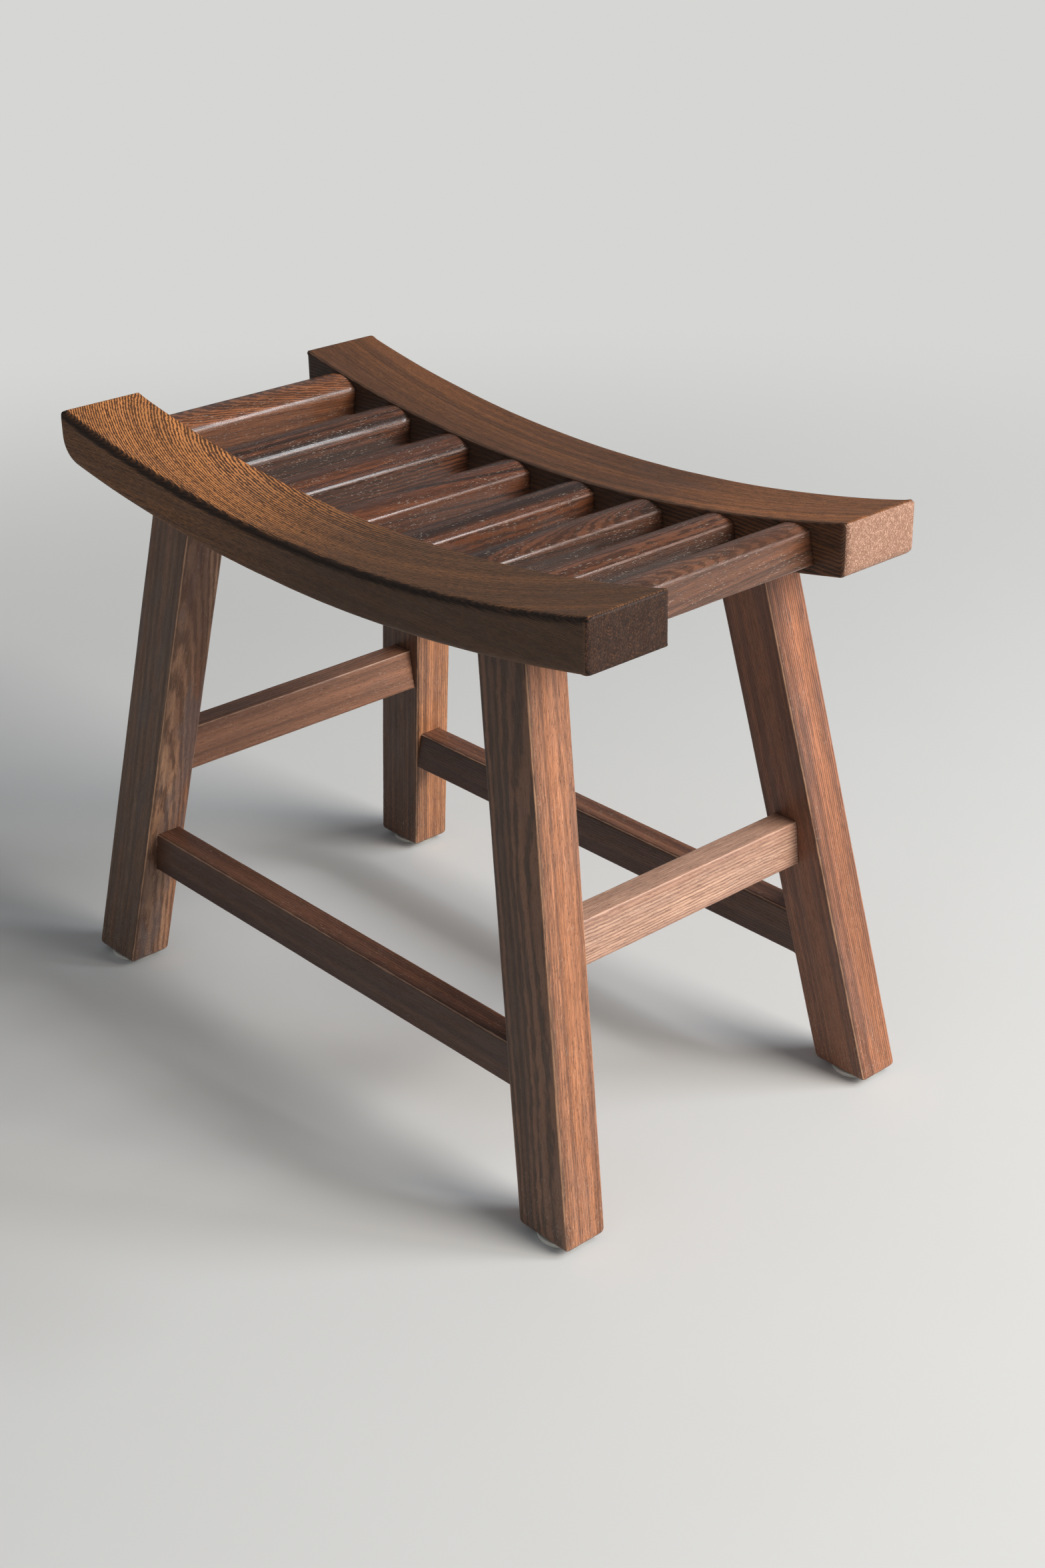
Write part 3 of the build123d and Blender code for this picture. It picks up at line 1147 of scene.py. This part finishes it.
    def _bump(self) -> bpy.types.NodeSocket:
        """Normal of the brushed surface: raised fibre, sunken lines, vessels and end strokes.

        Returns:
            The bumped normal.
        """
        raised = self.raised
        height = self.fibre * raised["fibre"] + self.lines * raised["lines"] + self.pores * raised["pores"]
        height = height + self.end * self.strokes * raised["strokes"]
        feeds = {"Strength": self.finish.relief, "Distance": self.relief_depth, "Height": height}
        return self.bench.add("ShaderNodeBump", feeds).outputs[0]

    def build(self) -> None:
        """Wires the surface to the material's output."""
        finish, matt = self.finish, self.matt
        rough = self.lines * matt["lines"] + self.drift * matt["drift"] + self.pores * matt["pores"]
        shader = self.bench.add("ShaderNodeBsdfPrincipled", {
            "Base Color": self._colour(),
            "Roughness": rough + self.end * matt["end"] + finish.roughness,
            "Normal": self._bump(),
            "Specular IOR Level": finish.gloss,
            "Coat Weight": finish.coat,
            "Coat Roughness": finish.coat_roughness,
        })
        self.bench.add("ShaderNodeOutputMaterial", {"Surface": shader.outputs[0]})


@dataclass(frozen=True)
class GlideFinish:
    """Milky plastic of the pads under the feet."""

    name: str = "glide_pad_milky"
    milk: Colour = srgb(214, 212, 204)
    scuff: Colour = srgb(170, 160, 146)
    blotch_pace: tuple[float, float] = (160.0, 500.0)
    blotch_texture: tuple[float, float] = (4.0, 0.6)
    scuff_edge: tuple[float, float] = (0.5, 0.75)
    scuff_share: float = 0.5
    roughness: float = 0.25
    roughness_swing: float = 0.3
    relief: float = 0.2
    relief_depth: float = 0.0002
    milkiness: float = 0.3
    milk_depth: float = 0.002

    def material(self) -> bpy.types.Material:
        """Builds the finish.

        Returns:
            The material.
        """
        material = bpy.data.materials.new(self.name)
        bench = empty_bench(material)
        x, y, z = bench.split(bench.add("ShaderNodeTexCoord").outputs["Object"])
        level, upright = self.blotch_pace
        blotch = bench.noise(bench.join(x * level, y * level, z * upright), *self.blotch_texture)
        scuffs = blotch.ramp(*self.scuff_edge) * self.scuff_share
        feeds = {"Strength": self.relief, "Distance": self.relief_depth, "Height": blotch}
        shader = bench.add("ShaderNodeBsdfPrincipled", {
            "Base Color": bench.blend(scuffs, self.milk, self.scuff),
            "Roughness": blotch * self.roughness_swing + self.roughness,
            "Normal": bench.add("ShaderNodeBump", feeds).outputs[0],
            "Subsurface Weight": self.milkiness,
            "Subsurface Scale": self.milk_depth,
        })
        bench.add("ShaderNodeOutputMaterial", {"Surface": shader.outputs[0]})
        return material


@dataclass
class Workshop:
    """What every sub-assembly is made with: the cutting trees and the shared effects."""

    timber: TimberBar = field(default_factory=TimberBar)
    disc: GlideDisc = field(default_factory=GlideDisc)
    effects: ShaderEffects = field(default_factory=ShaderEffects)


def arc_rise(radius: float, x: Points) -> Points:
    """How far an arc that is lowest in the middle has risen at x."""
    return radius - np.sqrt(radius**2 - x**2)


@dataclass(frozen=True)
class Saddle:
    """The two arcs that the rails are sawn to, and what hangs on them."""

    seat_height: float = 0.3085
    saddle_radius: float = 0.945
    rail_height: float = 0.025
    underside_radius: float = 1.065

    def top(self, x: Points) -> Points:
        """Height of the rails' top."""
        return self.seat_height + arc_rise(self.saddle_radius, x)

    def underside(self, x: Points) -> Points:
        """Height of the rails' underside."""
        return self.seat_height - self.rail_height + arc_rise(self.underside_radius, x)


@dataclass
class Rails:
    """The two long rails, sawn to the saddle's arcs from thick board."""

    shop: Workshop
    saddle: Saddle
    outer_round: float = 0.0045
    inner_round: float = 0.0012
    front_upright_round: float = 0.0026
    back_upright_round: float = 0.0042
    upper_end_round: float = 0.0028
    front_left_corner: float = 0.0124
    front_right_corner: float = 0.0016
    back_corner: float = 0.0042
    edge_wander: float = 0.12
    end_zone: float = 0.0128
    end_rows: float = 13.0
    rows: tuple[int, int, int] = (201, 41, 25)

    def finishes(self) -> dict[str, WoodFinish]:
        """Figure and colour of each rail.

        Returns:
            Each rail's finish, by the name of its node.
        """
        # The front rail's pale left end keeps a lit colour, which is painted light. From there to the right
        # end it darkens by painted shade.
        front = WoodFinish(
            "front_rail_wood", pale=srgb(232, 152, 88), dark=srgb(66, 40, 25), heart=srgb(72, 53, 40),
            streak=srgb(214, 140, 80), end_pale=srgb(94, 60, 40), end_dark=srgb(38, 24, 17),
            face=srgb(76, 58, 45), face_share=0.66, fade_share=0.82, fade_span=(-0.12, 0.04),
            pith=(-0.075, -0.155), spacing=0.00064, wander=0.0035, ripple=0.0005, line_break=0.9,
            break_length=0.0036, line_edge=(0.34, 0.76), line_share=1.0, tone_share=0.25,
            streak_share=0.2, haze_share=0.06, pore_share=0.35, fleck_share=0.04, rim_share=0.9,
            rim_drift=0.004, wear_share=0.08, roughness=0.5, gloss=0.25, coat=0.08, relief=0.5, seed=3.0)
        # The back rail keeps its pale, lit colour only at the right end, which is painted light. To the left
        # it darkens by painted shade.
        back = WoodFinish(
            "back_rail_wood", pale=srgb(192, 122, 72), dark=srgb(50, 32, 22), heart=srgb(70, 47, 33),
            # The back rail's light end-grain colours are painted light on its sawn ends.
            streak=srgb(196, 122, 70), end_pale=srgb(214, 172, 148), end_dark=srgb(142, 104, 84),
            face=srgb(48, 33, 25), face_share=0.75, fade_share=0.7, fade_span=(0.14, 0.05),
            pith=(0.16, -0.05), spacing=0.00062, wander=0.004, ripple=0.0003, line_break=0.9,
            break_length=0.008, line_share=0.85, tone_share=0.38, streak_share=0.35, haze_share=0.06,
            fleck_share=0.08, roughness=0.46, gloss=0.3, coat=0.12, seed=17.0)
        return {"front_rail": front, "back_rail": back}

    def _place(self, mesh: bpy.types.Mesh, facing: float, middle: float) -> None:
        """Bends a straight blank between the two arcs and turns it to its side.

        Args:
            mesh: The blank, its outer edge towards +Y.
            facing: 1 for the back rail and -1 for the front one.
            middle: Distance of the rail's centre line from the stool's.
        """
        points = read_points(mesh)
        x, y, z = points[:, 0] * facing, points[:, 1] * facing, points[:, 2]
        half = self.saddle.rail_height / 2
        high, low = self.saddle.top(x), self.saddle.underside(x)
        spare = (high - low) / 2 - half
        share = np.clip(z / half, -1, 1)
        height = (high + low) / 2 + z + spare * np.sin(share * math.pi / 2)
        write_points(mesh, np.stack([x, y + facing * middle, height], 1))
        write_board(mesh, np.stack([x, y * facing, height - self.saddle.seat_height], 1))
        to_outer = points[:, 1].max() - points[:, 1]
        # Distance from the outer upper edge, where the dark rim of painted shade goes.
        write_mark(mesh, "rim", np.hypot(to_outer, half - points[:, 2]))
        # Distance from the side that takes painted shade: the front rail's outer side and the back rail's
        # inner side.
        write_mark(mesh, "face", to_outer if facing < 0 else points[:, 1].max() * 2 - to_outer)

    def build(self) -> None:
        """Cuts, bends and dresses both rails."""
        low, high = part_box("back_rail")
        blank = Blank(
            length=2 * high.x, width=high.y - low.y, height=self.saddle.rail_height, rows=self.rows,
            outer_round=self.outer_round, inner_round=self.inner_round, edge_wander=self.edge_wander,
            upper_end_round=self.upper_end_round, section_share=1.0, end_zone=self.end_zone,
            end_rows=self.end_rows)
        middle = (low.y + high.y) / 2
        front = (self.front_left_corner, self.front_right_corner, self.front_upright_round)
        back = (self.back_corner, self.back_corner, self.back_upright_round)
        sides = zip((-1.0, 1.0), (front, back), self.finishes().items())
        for facing, (end, start, upright), (node, finish) in sides:
            material = finish.material(self.shop.effects)
            corners = {"lower_end_round": end, "lower_start_round": start, "plan_round": upright}
            shape = replace(blank, seed=finish.seed, **corners)
            mesh = shape.cut(node, self.shop.timber, material)
            self._place(mesh, facing, middle)
            install(mesh, node)


@dataclass
class Slats:
    """The domed slats that lie side by side along the saddle's arc."""

    shop: Workshop
    saddle: Saddle
    width: float = 0.025
    side_height: float = 0.017
    crown: float = 0.0036
    drop: float = 0.0046
    pitch: float = 0.05
    seat_depth: float = 0.0005
    edge_rounds: tuple[float, ...] = (0.0028, 0.0030, 0.0018, 0.0012, 0.0012, 0.0014, 0.0012, 0.0016)
    end_round: float = 0.0009
    edge_wander: float = 0.3
    first_seed: float = 31.0
    seed_step: float = 7.3
    rows: tuple[int, int, int] = (61, 33, 19)

    def finishes(self) -> list[WoodFinish]:
        """Figure and colour of each slat, from the left.

        Returns:
            One finish for each slat.
        """
        base = WoodFinish(
            "slat_wood", pale=srgb(126, 73, 47), dark=srgb(30, 19, 14), heart=srgb(36, 23, 17),
            streak=srgb(152, 86, 48), haze=srgb(70, 62, 64), face=srgb(42, 27, 20), face_share=0.3,
            worn=srgb(150, 112, 92), spacing=0.0007, wander=0.005, ripple=0.0004, break_length=0.011,
            line_break=1.0, line_share=0.8, tone_share=0.85, streak_share=0.35, haze_share=0.04,
            pore_share=0.6, fleck_share=0.75, fleck_density=0.16, roughness=0.3, gloss=0.3, coat=0.3,
            coat_roughness=0.12, wear_share=0.3, relief=0.35)
        own = (
            {"pith": (0.004, -0.022), "spacing": 0.00038, "taper": 0.06, "tone_share": 0.4,
             "pale": srgb(162, 100, 62), "dark": srgb(70, 41, 28)},
            {"pith": (0.06, -0.06), "streak_share": 0.3, "pale": srgb(138, 82, 53)},
            {"pith": (-0.09, 0.03), "haze_share": 0.15},
            {"pith": (0.01, -0.03), "spacing": 0.0004, "taper": 0.05, "line_share": 0.6},
            {"pith": (0.12, 0.02), "pale": srgb(104, 62, 42)},
            {"pith": (-0.012, -0.03), "spacing": 0.00046, "taper": 0.04, "line_share": 0.6,
             "pale": srgb(112, 68, 45)},
            {"pith": (0.03, 0.08), "pale": srgb(106, 70, 52)},
            # Slat 8's paler colours are partly its own tone and partly painted light.
            {"pith": (-0.006, -0.024), "spacing": 0.00046, "taper": -0.05, "line_share": 0.55,
             "tone_share": 0.6, "pale": srgb(140, 92, 66), "dark": srgb(48, 31, 24)},
        )
        return [
            replace(
                base, name=f"slat_{number}_wood", seed=self.first_seed + self.seed_step * number, **change)
            for number, change in enumerate(own, 1)
        ]

    def _place(self, mesh: bpy.types.Mesh, angle: float) -> None:
        """Turns a straight blank across the stool and hangs it on the saddle's arc.

        Args:
            mesh: The blank.
            angle: Its angle along the arc from the middle.
        """
        points = read_points(mesh)
        along, across, up = points[:, 0], -points[:, 1], points[:, 2]
        centre = self.saddle.seat_height + self.saddle.saddle_radius
        depth = self.saddle.saddle_radius + self.drop + self.side_height / 2 - up
        x = math.sin(angle) * depth + math.cos(angle) * across
        z = centre - math.cos(angle) * depth + math.sin(angle) * across
        write_points(mesh, np.stack([x, along, z], 1))
        write_board(mesh, np.stack([along, across, up], 1))
        # Distance from the slat's +X side, which takes painted shade.
        write_mark(mesh, "face", self.width / 2 - across)

    def build(self) -> None:
        """Cuts, tilts and dresses every slat."""
        length = 2 * (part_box("back_rail")[0].y + self.seat_depth)
        blank = Blank(
            length=length, width=self.width, height=self.side_height, rows=self.rows,
            edge_wander=self.edge_wander, plan_round=self.end_round, crown=self.crown)
        finishes = self.finishes()
        for number, (finish, edge) in enumerate(zip(finishes, self.edge_rounds), 1):
            node = f"slat_{number}"
            material = finish.material(self.shop.effects)
            shape = replace(blank, outer_round=edge, inner_round=edge, seed=finish.seed)
            mesh = shape.cut(node, self.shop.timber, material)
            self._place(mesh, (number - (len(finishes) + 1) / 2) * self.pitch / self.saddle.saddle_radius)
            install(mesh, node)


@dataclass
class Legs:
    """The four legs, splayed both ways and scribed to the rails' undersides."""

    shop: Workshop
    saddle: Saddle
    along: float = 0.035
    across: float = 0.026
    splay_along: float = math.radians(11.2)
    splay_across: float = math.radians(6.0)
    end_overhang: float = 0.060
    side_overhang: float = 0.018
    edge_round: float = 0.0017
    foot_round: float = 0.0038
    foot_rows: float = 6.0
    seat_depth: float = 0.0005
    scribe_rounds: int = 4
    rows: tuple[int, int, int] = (121, 29, 23)

    def __post_init__(self) -> None:
        """Takes the legs' outer corner, their top and their foot from the frame."""
        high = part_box("back_rail")[1]
        self.outer_x = high.x - self.end_overhang
        self.outer_y = high.y - self.side_overhang
        self.entry = float(self.saddle.underside(self.outer_x))
        self.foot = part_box("pad_back_right")[1].z

    def centre(self, height: Points) -> tuple[Points, Points]:
        """Centre of the back right leg's level section.

        Args:
            height: Height over the floor.

        Returns:
            Its x and its y.
        """
        fall = self.entry - height
        x = self.outer_x - self.along / 2 + fall * math.tan(self.splay_along)
        y = self.outer_y - self.across / 2 + fall * math.tan(self.splay_across)
        return x, y

    def inner_x(self, height: Points) -> Points:
        """Half the clear length between two legs along X."""
        return self.centre(height)[0] - self.along / 2

    def inner_y(self, height: Points) -> Points:
        """Half the clear length between two legs along Y."""
        return self.centre(height)[1] - self.across / 2

    def finishes(self) -> dict[tuple[str, str], WoodFinish]:
        """Figure and colour of each leg, by end and side.

        Returns:
            Each leg's finish.
        """
        base = WoodFinish(
            "leg_wood", pale=srgb(206, 142, 98), dark=srgb(68, 42, 31), heart=srgb(88, 55, 40),
            streak=srgb(206, 132, 86), face=srgb(68, 56, 47), worn=srgb(214, 164, 128), face_share=0.68,
            spacing=0.0008, wander=0.004, ripple=0.0003, line_break=0.9, break_length=0.014,
            line_edge=(0.3, 0.85), line_share=0.7, tone_share=0.75, streak_share=0.5, haze_share=0.15,
            pore_share=0.65, fleck_share=0.4, wear_share=0.6, scuff_share=0.3, seed=90.0)
        # Each leg's -Y side takes painted shade. The back right leg's lighter, weaker shade is painted light
        # on that side.
        own = {
            ("front", "left"): {"pith": (0.05, 0.01), "taper": 0.02, "face_share": 0.6, "haze_share": 0.5,
                                "pale": srgb(186, 142, 110), "face": srgb(80, 62, 50), "seed": 91.0},
            ("front", "right"): {"pith": (0.02, 0.16), "line_share": 0.8, "line_break": 0.8,
                                 "tone_share": 0.6, "pale": srgb(212, 144, 104), "seed": 97.5},
            ("back", "left"): {"pith": (0.10, -0.06), "face": srgb(42, 31, 27), "line_share": 0.5,
                               "seed": 103.0},
            ("back", "right"): {"pith": (-0.09, 0.08), "pale": srgb(198, 128, 92), "face": srgb(74, 52, 41),
                                "face_share": 0.4, "seed": 111.0},
        }
        return {
            (end, hand): replace(base, name=f"leg_{end}_{hand}_wood", **change)
            for (end, hand), change in own.items()
        }

    def _place(self, mesh: bpy.types.Mesh, side: float, facing: float, length: float) -> None:
        """Slopes a straight blank, its end at +X downwards, into its corner.

        Args:
            mesh: The blank.
            side: 1 on the right and -1 on the left.
            facing: 1 at the back and -1 at the front.
            length: The blank's length.
        """
        points = read_points(mesh)
        share, a, b = 0.5 - points[:, 0] / length, points[:, 1], points[:, 2]
        top = np.full(len(points), self.entry)
        for _ in range(self.scribe_rounds):
            top = self.saddle.underside(self.centre(top)[0] + a) + self.seat_depth
        height = self.foot + share * (top - self.foot)
        x, y = self.centre(height)
        write_points(mesh, np.stack([side * (x + a), facing * (y + b), height], 1))
        write_board(mesh, np.stack([share * length, a, b], 1))
        # Distance from the leg's -Y side, which takes painted shade.
        write_mark(mesh, "face", self.across / 2 + facing * b)

    def build(self) -> None:
        """Cuts, slopes and dresses the four legs."""
        length = self.entry - self.foot
        blank = Blank(
            length=length, width=self.along, height=self.across, rows=self.rows,
            outer_round=self.edge_round, inner_round=self.edge_round, plan_round=self.foot_round,
            upper_end_round=self.foot_round, lower_end_round=self.foot_round, start_share=0.0,
            end_zone=self.foot_round, end_rows=self.foot_rows)
        for (end, hand), finish in self.finishes().items():
            node = f"leg_{end}_{hand}"
            material = finish.material(self.shop.effects)
            mesh = replace(blank, seed=finish.seed).cut(node, self.shop.timber, material)
            side = 1.0 if hand == "right" else -1.0
            facing = 1.0 if end == "back" else -1.0
            self._place(mesh, side, facing, length)
            install(mesh, node)


class Run(Enum):
    """Which way a stretcher runs, as the axis of its length."""

    LONG = 0
    SHORT = 1


@dataclass
class Stretchers:
    """The low stretchers along the stool and the high ones across it."""

    shop: Workshop
    legs: Legs
    edge_round: float = 0.0017
    seat_depth: float = 0.0005
    rows: tuple[int, int, int] = (91, 19, 23)

    def finishes(self) -> dict[str, WoodFinish]:
        """Figure and colour of each stretcher.

        Returns:
            Each stretcher's finish, by the name of its node.
        """
        base = WoodFinish(
            "stretcher_wood", pale=srgb(178, 128, 98), dark=srgb(84, 56, 44), heart=srgb(104, 72, 57),
            streak=srgb(194, 134, 102), face=srgb(56, 38, 30), worn=srgb(214, 172, 144), spacing=0.0007,
            wander=0.004, ripple=0.0003, line_break=0.9, break_length=0.012, line_edge=(0.3, 0.9),
            line_share=0.5, tone_share=0.55, streak_share=0.4, haze_share=0.1, pore_share=0.65,
            fleck_share=0.5, wear_share=0.5)
        # The long stretchers' darker colours are painted shade under the seat.
        low = {"pale": srgb(130, 82, 58), "dark": srgb(54, 34, 26), "heart": srgb(66, 42, 32),
               "face_share": 0.65}
        own = {
            "long_stretcher_front": {**low, "pith": (0.05, 0.12), "seed": 131.0},
            "long_stretcher_back": {**low, "pith": (-0.12, 0.05), "seed": 139.0},
            # The left short stretcher's slightly darker pale is painted shade.
            "short_stretcher_left": {"pith": (0.03, -0.09), "pale": srgb(160, 110, 82), "seed": 149.0},
            # The right short stretcher's paler colours are painted light.
            "short_stretcher_right": {
                "pith": (0.10, 0.04), "pale": srgb(216, 174, 148), "dark": srgb(112, 80, 66),
                "heart": srgb(156, 116, 98), "line_share": 0.7, "seed": 157.0},
        }
        return {node: replace(base, name=f"{node}_wood", **change) for node, change in own.items()}

    def _half_clear(self, run: Run, height: Points) -> Points:
        """Half the clear length between the two legs that a stretcher joins."""
        return self.legs.inner_x(height) if run is Run.LONG else self.legs.inner_y(height)

    def _place(self, mesh: bpy.types.Mesh, run: Run, length: float, low: Vector, high: Vector) -> None:
        """Cuts a straight blank's ends to the legs' slope and moves it to its place.

        Args:
            mesh: The blank.
            run: Which way it runs.
            length: The blank's length.
            low: Lowest corner of its node in the frame.
            high: Highest corner of its node in the frame.
        """
        points = read_points(mesh)
        along, across, up = points.T
        height = up + (low.z + high.z) / 2
        reach = along / (length / 2) * (self._half_clear(run, height) + self.seat_depth)
        other = 1 - run.value
        beside = across + (low[other] + high[other]) / 2
        pair = (reach, beside) if run is Run.LONG else (beside, reach)
        write_points(mesh, np.stack([*pair, height], 1))
        write_board(mesh, np.stack([along, across, up], 1))
        # Distance from the -Y side (-X on the short stretchers). The long stretchers take painted shade
        # there.
        write_mark(mesh, "face", across - across.min())

    def build(self) -> None:
        """Cuts and dresses the four stretchers."""
        for node, finish in self.finishes().items():
            run = Run.LONG if node.startswith("long") else Run.SHORT
            low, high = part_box(node)
            other = 1 - run.value
            length = 2 * float(self._half_clear(run, (low.z + high.z) / 2))
            blank = Blank(
                length=length, width=high[other] - low[other], height=high.z - low.z, rows=self.rows,
                outer_round=self.edge_round, inner_round=self.edge_round, seed=finish.seed)
            mesh = blank.cut(node, self.shop.timber, finish.material(self.shop.effects))
            self._place(mesh, run, length, low, high)
            install(mesh, node)


@dataclass
class GlidePads:
    """The round pads under the four feet."""

    shop: Workshop
    rim: float = 0.0006

    def build(self) -> None:
        """Turns and dresses the four pads."""
        material = GlideFinish().material()
        for node in (f"pad_{end}_{hand}" for end in ("front", "back") for hand in ("left", "right")):
            low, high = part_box(node)
            values = {"Radius": (high.x - low.x) / 2, "Thickness": high.z - low.z, "Rim": self.rim}
            mesh = self.shop.disc.run(node, {**values, "Material": material})
            write_points(mesh, read_points(mesh) + np.array((low + high) / 2))
            install(mesh, node)


@dataclass(frozen=True)
class SoftBox:
    """A rectangular lamp that points at the stool's middle."""

    name: str
    direction: tuple[float, float, float]
    sides: tuple[float, float]
    power: float
    tint: Colour = (1.0, 1.0, 1.0)
    along: tuple[float, float, float] = (0.0, 0.0, 1.0)
    distance: float = 2.2
    target: tuple[float, float, float] = (0.0, 0.0, 0.18)

    def build(self) -> None:
        """Hangs the lamp."""
        lamp = bpy.data.lights.new(self.name, "AREA")
        lamp.shape = "RECTANGLE"
        lamp.size, lamp.size_y = self.sides
        lamp.energy = self.power
        lamp.color = self.tint
        holder = bpy.data.objects.new(self.name, lamp)
        bpy.context.scene.collection.objects.link(holder)
        towards = Vector(self.direction).normalized()
        across = towards.cross(Vector(self.along)).normalized()
        turn = Matrix((across.cross(towards), across, towards)).transposed().to_4x4()
        holder.matrix_world = Matrix.Translation(Vector(self.target) + towards * self.distance) @ turn


@dataclass
class Studio:
    """Plain pale floor, soft lamps and a camera at the photograph's angle."""

    floor_tone: Colour = srgb(214, 214, 212)
    floor_half: float = 7.0
    floor_fade: tuple[float, float] = (0.5, 1.5)
    floor_roughness: float = 0.9
    floor_gloss: float = 0.1
    mottle_pace: float = 9.0
    mottle_texture: tuple[float, float] = (4.0, 0.6)
    mottle_depth: float = 0.02
    blue_share: float = 0.99
    world_strength: float = 0.2
    world_tint: Colour = (0.92, 0.96, 1.0)
    camera_place: tuple[float, float, float] = (0.88196, -0.73745, 0.7071)
    yaw: float = math.radians(48.69)
    pitch: float = math.radians(-26.21)
    roll: float = math.radians(-1.12)
    sensor: float = 36.0
    focal_pixels: float = 3502.5
    image_long_side: float = 2352.0

    def lamps(self) -> list[SoftBox]:
        """Key from the right, a strip that runs along the arrises, a glow behind and a fill.

        Returns:
            The four lamps.
        """
        warm, cool, pale_cool = (1.0, 0.96, 0.9), (0.9, 0.95, 1.0), (0.95, 0.97, 1.0)
        return [
            SoftBox("key", direction=(0.86, 0.30, 0.50), sides=(1.75, 1.75), power=139.0, tint=warm,
                    distance=3.5),
            SoftBox("arris_strip", direction=(0.53, 0.55, 0.65), sides=(1.3, 0.16), power=20.0, tint=cool,
                    along=(0.775, 0.0, -0.63)),
            SoftBox("wall_glow", direction=(-0.65, 0.58, 0.45), sides=(1.2, 1.2), power=0.25, tint=cool),
            SoftBox("fill", direction=(0.30, -0.9, 0.42), sides=(1.6, 1.6), power=3.0, tint=pale_cool),
        ]

    def _floor(self) -> None:
        """Lays the floor, which shows its own colour to the camera and keeps shadows."""
        half = self.floor_half
        corners = [(-half, -half, 0.0), (half, -half, 0.0), (half, half, 0.0), (-half, half, 0.0)]
        mesh = bpy.data.meshes.new("floor")
        mesh.from_pydata(corners, [], [(0, 1, 2, 3)])
        material = bpy.data.materials.new("floor_pale")
        bench = empty_bench(material)
        x, y, z = bench.split(bench.add("ShaderNodeTexCoord").outputs["Object"])
        spot = bench.join(x * self.mottle_pace, y * self.mottle_pace, z)
        mottle = bench.noise(spot, *self.mottle_texture)
        tone = mottle * self.mottle_depth + (self.floor_tone[0] - self.mottle_depth / 2)
        near = bench.add("ShaderNodeBsdfPrincipled", {
            "Base Color": bench.join(tone, tone, tone * self.blue_share),
            "Roughness": self.floor_roughness,
            "Specular IOR Level": self.floor_gloss,
        })
        far = bench.add("ShaderNodeEmission", {"Color": self.floor_tone})
        seen = bench.signal("ShaderNodeLightPath", "Is Camera Ray")
        share = (x * x + y * y).root().ramp(*self.floor_fade) * seen
        mix = bench.add("ShaderNodeMixShader", {0: share, 1: near.outputs[0], 2: far.outputs[0]})
        bench.add("ShaderNodeOutputMaterial", {"Surface": mix.outputs[0]})
        mesh.materials.append(material)
        floor = bpy.data.objects.new("floor", mesh)
        bpy.context.scene.collection.objects.link(floor)

    def _world(self) -> None:
        """Even light from all round, and a pale background where the camera sees it."""
        world = bpy.data.worlds.new("studio")
        bench = empty_bench(world)
        path = bench.add("ShaderNodeLightPath").outputs["Is Camera Ray"]
        feeds = {"Color": self.world_tint, "Strength": self.world_strength}
        light = bench.add("ShaderNodeBackground", feeds)
        shown = bench.add("ShaderNodeBackground", {"Color": self.floor_tone, "Strength": 1.0})
        mix = bench.add("ShaderNodeMixShader", {0: path, 1: light.outputs[0], 2: shown.outputs[0]})
        bench.add("ShaderNodeOutputWorld", {"Surface": mix.outputs[0]})
        bpy.context.scene.world = world

    def _camera(self) -> None:
        """Sets the camera from the fitted place, angles and focal length."""
        ahead = Vector((-math.sin(self.yaw) * math.cos(self.pitch),
                        math.cos(self.yaw) * math.cos(self.pitch), math.sin(self.pitch)))
        level = Vector((math.cos(self.yaw), math.sin(self.yaw), 0.0))
        above = level.cross(ahead)
        right = level * math.cos(self.roll) + above * math.sin(self.roll)
        up = above * math.cos(self.roll) - level * math.sin(self.roll)
        data = bpy.data.cameras.new("camera")
        data.sensor_width = self.sensor
        data.lens = self.focal_pixels / self.image_long_side * self.sensor
        camera = bpy.data.objects.new("camera", data)
        bpy.context.scene.collection.objects.link(camera)
        turn = Matrix((right, up, -ahead)).transposed().to_4x4()
        camera.matrix_world = Matrix.Translation(self.camera_place) @ turn
        bpy.context.scene.camera = camera

    def build(self) -> None:
        """Sets up the studio."""
        bpy.context.scene.view_settings.view_transform = "Standard"
        self._floor()
        self._world()
        self._camera()
        for lamp in self.lamps():
            lamp.build()


def main() -> None:
    """Builds the stool, piece by piece, and the studio around it."""
    logging.basicConfig(level=logging.INFO, format="%(name)s %(message)s")
    shop = Workshop()
    saddle = Saddle()
    legs = Legs(shop, saddle)
    assemblies = (Rails(shop, saddle), Slats(shop, saddle), legs, Stretchers(shop, legs), GlidePads(shop))
    for assembly in assemblies:
        log.info("building %s", type(assembly).__name__)
        assembly.build()
    Studio().build()


if __name__ == "__main__":
    main()
